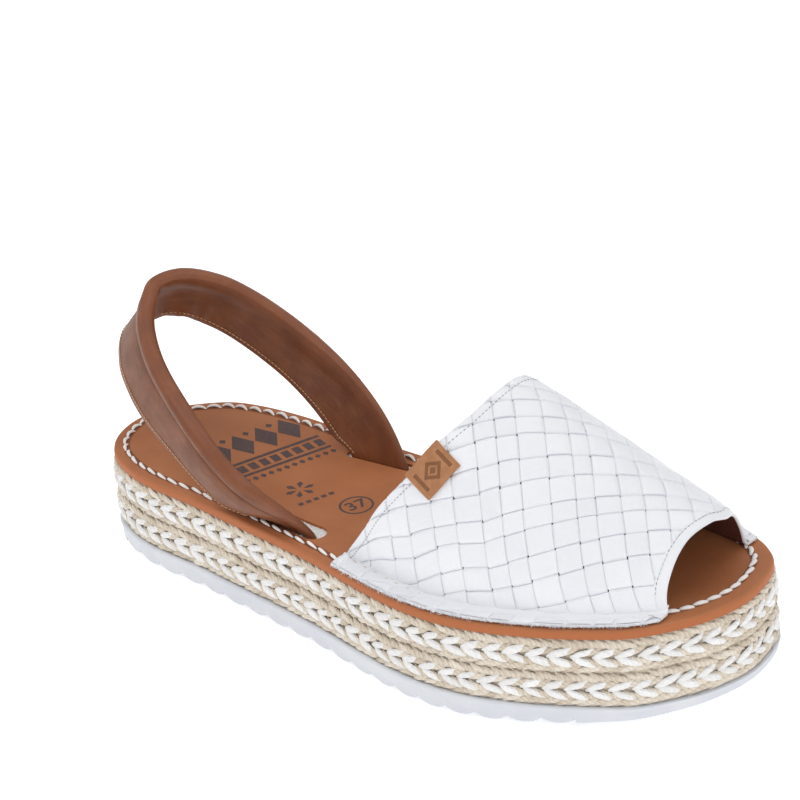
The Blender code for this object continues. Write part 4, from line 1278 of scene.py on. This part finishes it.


# %% [markdown]
# The band is bent round the heel, so the leather on its inner side is pressed together
# and puckers into short folds.  They are set one by one: each is a soft ridge across the
# lower half of the band, at its own place, width and height.

# %% Loft with puckers
station = np.arange(STATIONS)[:, None]
across, out, roll = BAND[:, 0][None, :], BAND[:, 1][None, :], BAND[:, 2][None, :]
pucker = np.zeros((STATIONS, len(BAND)))
for _ in range(34):
    centre = draw.normal(0.47, 0.10) * STATIONS
    width = draw.uniform(2.0, 5.0)
    height = draw.uniform(0.05, 0.22)
    upto = draw.uniform(0.25, 0.7)
    lean = draw.normal(0, 9)
    ridge = np.exp(-((station - centre - lean * across) / width) ** 2)
    pucker += ridge * height * np.clip(1.2 - across / upto, 0, 1) * (out < -0.5)
for _ in range(14):
    centre = draw.uniform(0.1, 0.9) * STATIONS
    width = draw.uniform(5, 12)
    ridge = np.exp(-((station - centre - draw.normal(0, 12) * across) / width) ** 2)
    pucker += ridge * draw.uniform(-0.06, 0.06) * (out > 0.5)
points = on_strap(station + 0 * across, across + 0 * station, out - pucker, roll)
band = Heap()
faces = grid_faces(STATIONS, len(BAND), round_columns=True).tolist()
faces += [list(range(len(BAND)))[::-1],
          [(STATIONS - 1) * len(BAND) + k for k in range(len(BAND))]]
# crease and rim mark where the colour gets its painted shadow and its painted highlight
crease = np.exp(-((across - 0.735) / 0.02) ** 2) * (out > 0)
rim = np.clip((across - 0.82) / 0.15, 0, 1)
lay = np.stack(np.broadcast_arrays(STRAP_RUN[:, None] / MM, across * 22.8), -1)
band.add(points, faces, lay, shade=(0.5 * rim - crease + 0 * station).ravel())

# %% [markdown]
# The band's colour carries painted light: a painted shadow darkens it in the crease,
# and a painted highlight pales it over the padded edge.  The `shade` that each point
# carries says where: below zero in the crease, above zero over the padded edge.

# %% Brown leather and topstitching
sheet = Sheet("brown waxed leather")
at = sheet.place()
cloud = sheet.noise(at, 9.0, 4.0)
fine = sheet.noise(at, 0.5, 4.0)
pebble = sheet.cells(at, 0.7)
streaks = sheet.noise(sheet.lay(0.12, 0.5), 1.0, 4.0)
tint = sheet.blend(cloud.within(0.3, 0.7), (0.200, 0.059, 0.016), (0.150, 0.041, 0.011))
tint = sheet.blend(streaks.within(0.5, 0.75) * 0.35, tint, (0.30, 0.105, 0.040))
# Painted highlight: paler over the padded edge
tint = sheet.blend(sheet.shade().within(0.0, 0.5) * 0.35, tint, (0.28, 0.098, 0.048))
# Painted shadow: darker in the crease
tint = sheet.blend((sheet.shade() * -1).within(0.1, 0.8) * 0.75, tint, (0.07, 0.02, 0.01))
sheet.relief((cloud, 0.35), (pebble.within(0.0, 0.25), 0.03), (fine, 0.03))
brown = sheet.finish(tint, 0.36 + 0.16 * cloud, coat_weight=0.08, coat_roughness=0.25,
                     specular=0.35)
band.piece("heel_strap_band", brown, "heel_strap", ["heel_strap"], sharp=60)

tan_rows = Heap()
station = np.linspace(30, STATIONS - 31, 900)
for out in (1.13, -1.13):
    row = on_strap(station, 0.095, out)
    lower = on_strap(station, 0.095, out * 2)
    dashes(tan_rows, row, lower - row, 1.1 * MM, 0.45 * MM, 0.19 * MM, 0.08)
tan_thread = thread_finish("tan thread", (0.78, 0.50, 0.29), (0.58, 0.33, 0.17))
tan_rows.piece("heel_strap_stitches", tan_thread, "heel_strap")

# %% [markdown]
# ## The label tab
#
# A small leather tab is folded over the topline.  Its face carries a pressed ornament:
# a lozenge between two rules.  It is pressed into a fine grid of points, so the edges
# of the ornament catch the light, and the pressed leather is scorched darker.

# %% The tab
LABEL_WIDTH = 15.0 * MM
LABEL_LENGTH = 12.6 * MM
LABEL_FLAP = 6.0 * MM
LABEL_THICKNESS = 1.0
LABEL_PLACE = 0.240
LABEL_SLANT = -0.27
LABEL_GRID = 61


def pressed(a, b):
    """How deep the ornament is pressed at (a, b), each from -1 to 1."""
    lozenge = np.abs(a) / 0.52 + np.abs(b) / 0.66
    ring = (lozenge < 1.0) & (lozenge > 0.60) | (lozenge < 0.34)
    rules = (np.abs(np.abs(a) - 0.70) < 0.075) & (np.abs(b) < 0.66)
    return (ring | rules).astype(float)


def vamp_at(u, v, lift):
    """u: 0 at the topline, 1 at the toe opening; v over the foot; lift in mm."""
    def place(u, v):
        rear, front = (np.interp(v, OPENING[:, 0], OPENING[:, k]) for k in (1, 2))
        return vamp_skin((rear * (1 - u) + front * u) * FOOTBED_LENGTH, v)

    step = 0.02
    out = np.cross(place(u + step, v) - place(u - step, v),
                   place(u, v + step) - place(u, v - step))
    return place(u, v) + unit(out) * np.asarray(lift)[..., None] * MM


spots = vamp_at(np.array([0.0, 1.0, 0.05, 0.05]), LABEL_PLACE
                + np.array([0, 0, -0.05, 0.05]), np.zeros(4))
VAMP_LENGTH = np.linalg.norm(spots[1] - spots[0])
VAMP_ROUND = np.linalg.norm(spots[3] - spots[2]) / 0.1
gap = 0.45
tab = Heap()
side_run = np.linspace(-1, 1, LABEL_GRID)
length = LABEL_LENGTH / MM
# (mm into the vamp, height in mm): up the outside, over the topline, down the inside
outside = [(x, gap + LABEL_THICKNESS) for x in np.linspace(length, 0.2, LABEL_GRID)]
turn = [(-0.35, gap + 0.9), (-1.0, gap + 0.35), (-1.3, -0.4), (-1.25, -1.4),
        (-0.9, -2.5), (-0.2, -3.2)]
inside = [(1.0, -3.45), (3.0, -3.8), (LABEL_FLAP / MM, -3.9)]
back_way = [(LABEL_FLAP / MM, -3.0), (3.0, -2.8), (1.0, -2.3), (0.0, -2.0), (-0.35, -1.3),
            (-0.4, -0.5), (-0.2, gap - 0.35), (0.6, gap), (length * 0.5, gap), (length, gap)]
profile = np.array(outside + turn + inside + back_way)
faces = grid_faces(len(profile), LABEL_GRID, round_rows=True).tolist()
depth = np.zeros((len(profile), LABEL_GRID))
a = np.linspace(1, -1, LABEL_GRID)[:, None]
depth[:LABEL_GRID] = pressed(side_run[None, :] + 0 * a, a + 0 * side_run[None, :])
edge_drop = np.maximum(np.abs(side_run) - 0.93, 0)[None, :] * 4.0
lift = profile[:, 1][:, None] - 0.28 * depth \
    - np.where(np.arange(len(profile))[:, None] < LABEL_GRID, edge_drop, 0)
u = profile[:, 0][:, None] * MM / VAMP_LENGTH + 0 * side_run[None, :]
v = LABEL_PLACE + (side_run[None, :] * LABEL_WIDTH / 2
                   + LABEL_SLANT * profile[:, 0][:, None] * MM) / VAMP_ROUND
tab.add(vamp_at(u, v, lift), faces, shade=depth.ravel())
for column in (0, LABEL_GRID - 1):
    count = len(profile)
    ring = [k * LABEL_GRID + column for k in range(count)]
    tab.faces.append(ring if column == 0 else ring[::-1])

sheet = Sheet("tab leather")
at = sheet.place()
cloud = sheet.noise(at, 3.0, 4.0)
pebble = sheet.cells(at, 0.5)
tint = sheet.blend(cloud.within(0.3, 0.7), (0.44, 0.205, 0.095), (0.38, 0.170, 0.076))
tint = sheet.blend(sheet.shade() * 0.8, tint, (0.20, 0.082, 0.036))
sheet.relief((cloud, 0.2), (pebble.within(0, 0.3), 0.03))
tab_finish = sheet.finish(tint, 0.6 + 0.1 * cloud, specular=0.3)
tab.piece("label_tab_leather", tab_finish, "label_tab", ["label_tab"], sharp=45)

# %% [markdown]
# ## Ink on the footbed
#
# A footbed is stamped before it is sewn in.  This one carries a frieze of lozenges
# between two bars, and the size in a ring.  Ink has no height worth the name: it is a
# layer of flat shapes a few hundredths of a millimetre over the leather, worn by noise.

# %% Ink
INK_LIFT = 0.035 * MM
ink = Heap()
STAMP_CENTRE = np.array([61.0, 4.0]) * MM
STAMP_TURN = math.radians(68.0)


def stamp(shape, centre=STAMP_CENTRE, turn=STAMP_TURN, steps=1):
    """Lays a flat shape, given in mm, on the footbed."""
    shape = np.asarray(shape, float) * MM
    ahead = np.array([math.cos(turn), math.sin(turn)])
    xy = centre + shape[:, :1] * ahead + shape[:, 1:] * np.array([-ahead[1], ahead[0]])
    ink.add(on_footbed(xy, INK_LIFT), [list(range(len(shape)))])


def bar(x0, x1, y0, y1):
    stamp([(x0, y0), (x1, y0), (x1, y1), (x0, y1)])


def lozenge(x, y, wide, tall):
    stamp([(x - wide, y), (x, y - tall), (x + wide, y), (x, y + tall)])


for k in range(4):
    lozenge(-13.5 + 9 * k, 15.0, 4.2, 8.2)
    lozenge(-13.5 + 9 * k + 4.5, 21.5, 1.3, 1.6)
bar(-19, 19, 3.4, 5.0)
for k in range(9):
    bar(-18.4 + 4.25 * k, -15.6 + 4.25 * k, -2.6, 2.2)
bar(-19, 19, -5.4, -3.9)
for k in range(13):
    lozenge(-18 + 3 * k, -8.2, 1.1, 1.5)
for k in range(6):
    angle = math.radians(60 * k)
    c, d = math.cos(angle), math.sin(angle)
    stamp([(4.0 * c - 1.1 * d - 4, 4.0 * d + 1.1 * c - 24.5), (1.2 * c - 4, 1.2 * d - 24.5),
           (4.0 * c + 1.1 * d - 4, 4.0 * d - 1.1 * c - 24.5), (5.4 * c - 4, 5.4 * d - 24.5)])
for k in range(5):
    bar(-9.4 + 2.9 * k, -7.6 + 2.9 * k, -34.4, -32.6)
RING_CENTRE = np.array([105.6, -7.8]) * MM
RING_RADII = (5.1, 5.9)
for k in range(48):
    a, b = (2 * math.pi * n / 48 for n in (k, k + 1))
    inner, outer = RING_RADII
    stamp([(inner * math.cos(a), inner * math.sin(a)), (inner * math.cos(b), inner * math.sin(b)),
           (outer * math.cos(b), outer * math.sin(b)), (outer * math.cos(a), outer * math.sin(a))],
          RING_CENTRE)
digits = bpy.data.curves.new("size", "FONT")
digits.body, digits.size, digits.align_x, digits.align_y = "37", 7.6, "CENTER", "CENTER"
digits.offset = 0.12
carrier = bpy.data.objects.new("size", digits)
bpy.context.collection.objects.link(carrier)
flat = bpy.data.meshes.new_from_object(
    carrier.evaluated_get(bpy.context.evaluated_depsgraph_get()))
bpy.data.objects.remove(carrier, do_unlink=True)
turn = STAMP_TURN
corners = np.array([v.co[:2] for v in flat.vertices]) * MM
corners = RING_CENTRE + corners[:, :1] * np.array([math.cos(turn), math.sin(turn)]) \
    + corners[:, 1:] * np.array([-math.sin(turn), math.cos(turn)])
ink.add(on_footbed(corners, INK_LIFT), [list(p.vertices) for p in flat.polygons])

sheet = Sheet("stamping ink")
at = sheet.place()
worn = sheet.noise(at, 0.6, 5.0, 0.7).within(0.52, 0.68) * 0.6
cloud = sheet.noise(at, 12.0)
tint = sheet.blend(cloud, (0.095, 0.068, 0.066), (0.075, 0.055, 0.055))
tint = sheet.blend(worn, tint, (0.36, 0.125, 0.05))
sheet.relief((worn, 0.02), (cloud, 0.1))
ink_finish = sheet.finish(tint, 0.6 + 0.1 * worn, specular=0.3)
ink.piece("footbed_ink", ink_finish, "footbed")

# %% [markdown]
# ## Floor, light and camera
#
# A shop photograph of a shoe has a white ground and soft light from all round.

# %% Floor
sheet = Sheet("pale floor")
dust = sheet.noise(sheet.place(), 60.0)
floor_finish = sheet.finish(sheet.blend(dust, (0.90, 0.90, 0.90), (0.93, 0.93, 0.93)), 0.9)
sheet.join(sheet.shader.inputs["Emission Color"], (1, 1, 1))
sheet.join(sheet.shader.inputs["Emission Strength"], 0.42)
grid = np.stack(np.meshgrid(np.linspace(-3, 3, 9), np.linspace(-3, 3, 9)), -1).reshape(-1, 2)
mesh = bpy.data.meshes.new("floor")
mesh.from_pydata([(x, y, -0.0002) for x, y in grid], [], grid_faces(9, 9).tolist())
mesh.materials.append(floor_finish)
floor = bpy.data.objects.new("floor", mesh)
bpy.context.collection.objects.link(floor)

# %% Lights
def soft_light(name, place, aim, size, power, colour=(1, 1, 1)):
    lamp = bpy.data.lights.new(name, "AREA")
    lamp.shape, lamp.size, lamp.energy, lamp.color = "DISK", size, power, colour
    made = bpy.data.objects.new(name, lamp)
    bpy.context.collection.objects.link(made)
    made.location = place
    made.rotation_euler = (Vector(aim) - Vector(place)).to_track_quat("-Z", "Y").to_euler()


soft_light("key", (-0.5, -0.6, 1.3), (0, 0, 0.03), 0.9, 5)
soft_light("fill", (1.2, -0.5, 0.7), (0, 0, 0.03), 0.9, 3.4)
soft_light("top", (0.1, 0.5, 1.4), (0, 0, 0.03), 1.0, 3.2)
world = bpy.data.worlds.new("studio")
world.use_nodes = True
world.node_tree.nodes["Background"].inputs["Color"].default_value = (1, 1, 1, 1)
world.node_tree.nodes["Background"].inputs["Strength"].default_value = 0.62
bpy.context.scene.world = world
bpy.context.scene.view_settings.view_transform = "Standard"

# %% Camera
CAMERA_PLACE = (0.84931, -0.98860, 0.78587)
AZIMUTH, ELEVATION, ROLL = (math.radians(a) for a in (40.67, 28.49, -5.48))
back = Vector((math.sin(AZIMUTH) * math.cos(ELEVATION),
               -math.cos(AZIMUTH) * math.cos(ELEVATION), math.sin(ELEVATION)))
level = (-back).cross(Vector((0, 0, 1))).normalized()
upright = level.cross(-back)
right = level * math.cos(ROLL) + upright * math.sin(ROLL)
up = upright * math.cos(ROLL) - level * math.sin(ROLL)
lens = bpy.data.cameras.new("camera")
lens.sensor_width, lens.lens = 36.0, 205.48
lens.clip_end = 20.0
camera = bpy.data.objects.new("camera", lens)
bpy.context.collection.objects.link(camera)
camera.matrix_world = Matrix.Translation(CAMERA_PLACE) @ \
    Matrix((right, up, back)).transposed().to_4x4()
bpy.context.scene.camera = camera
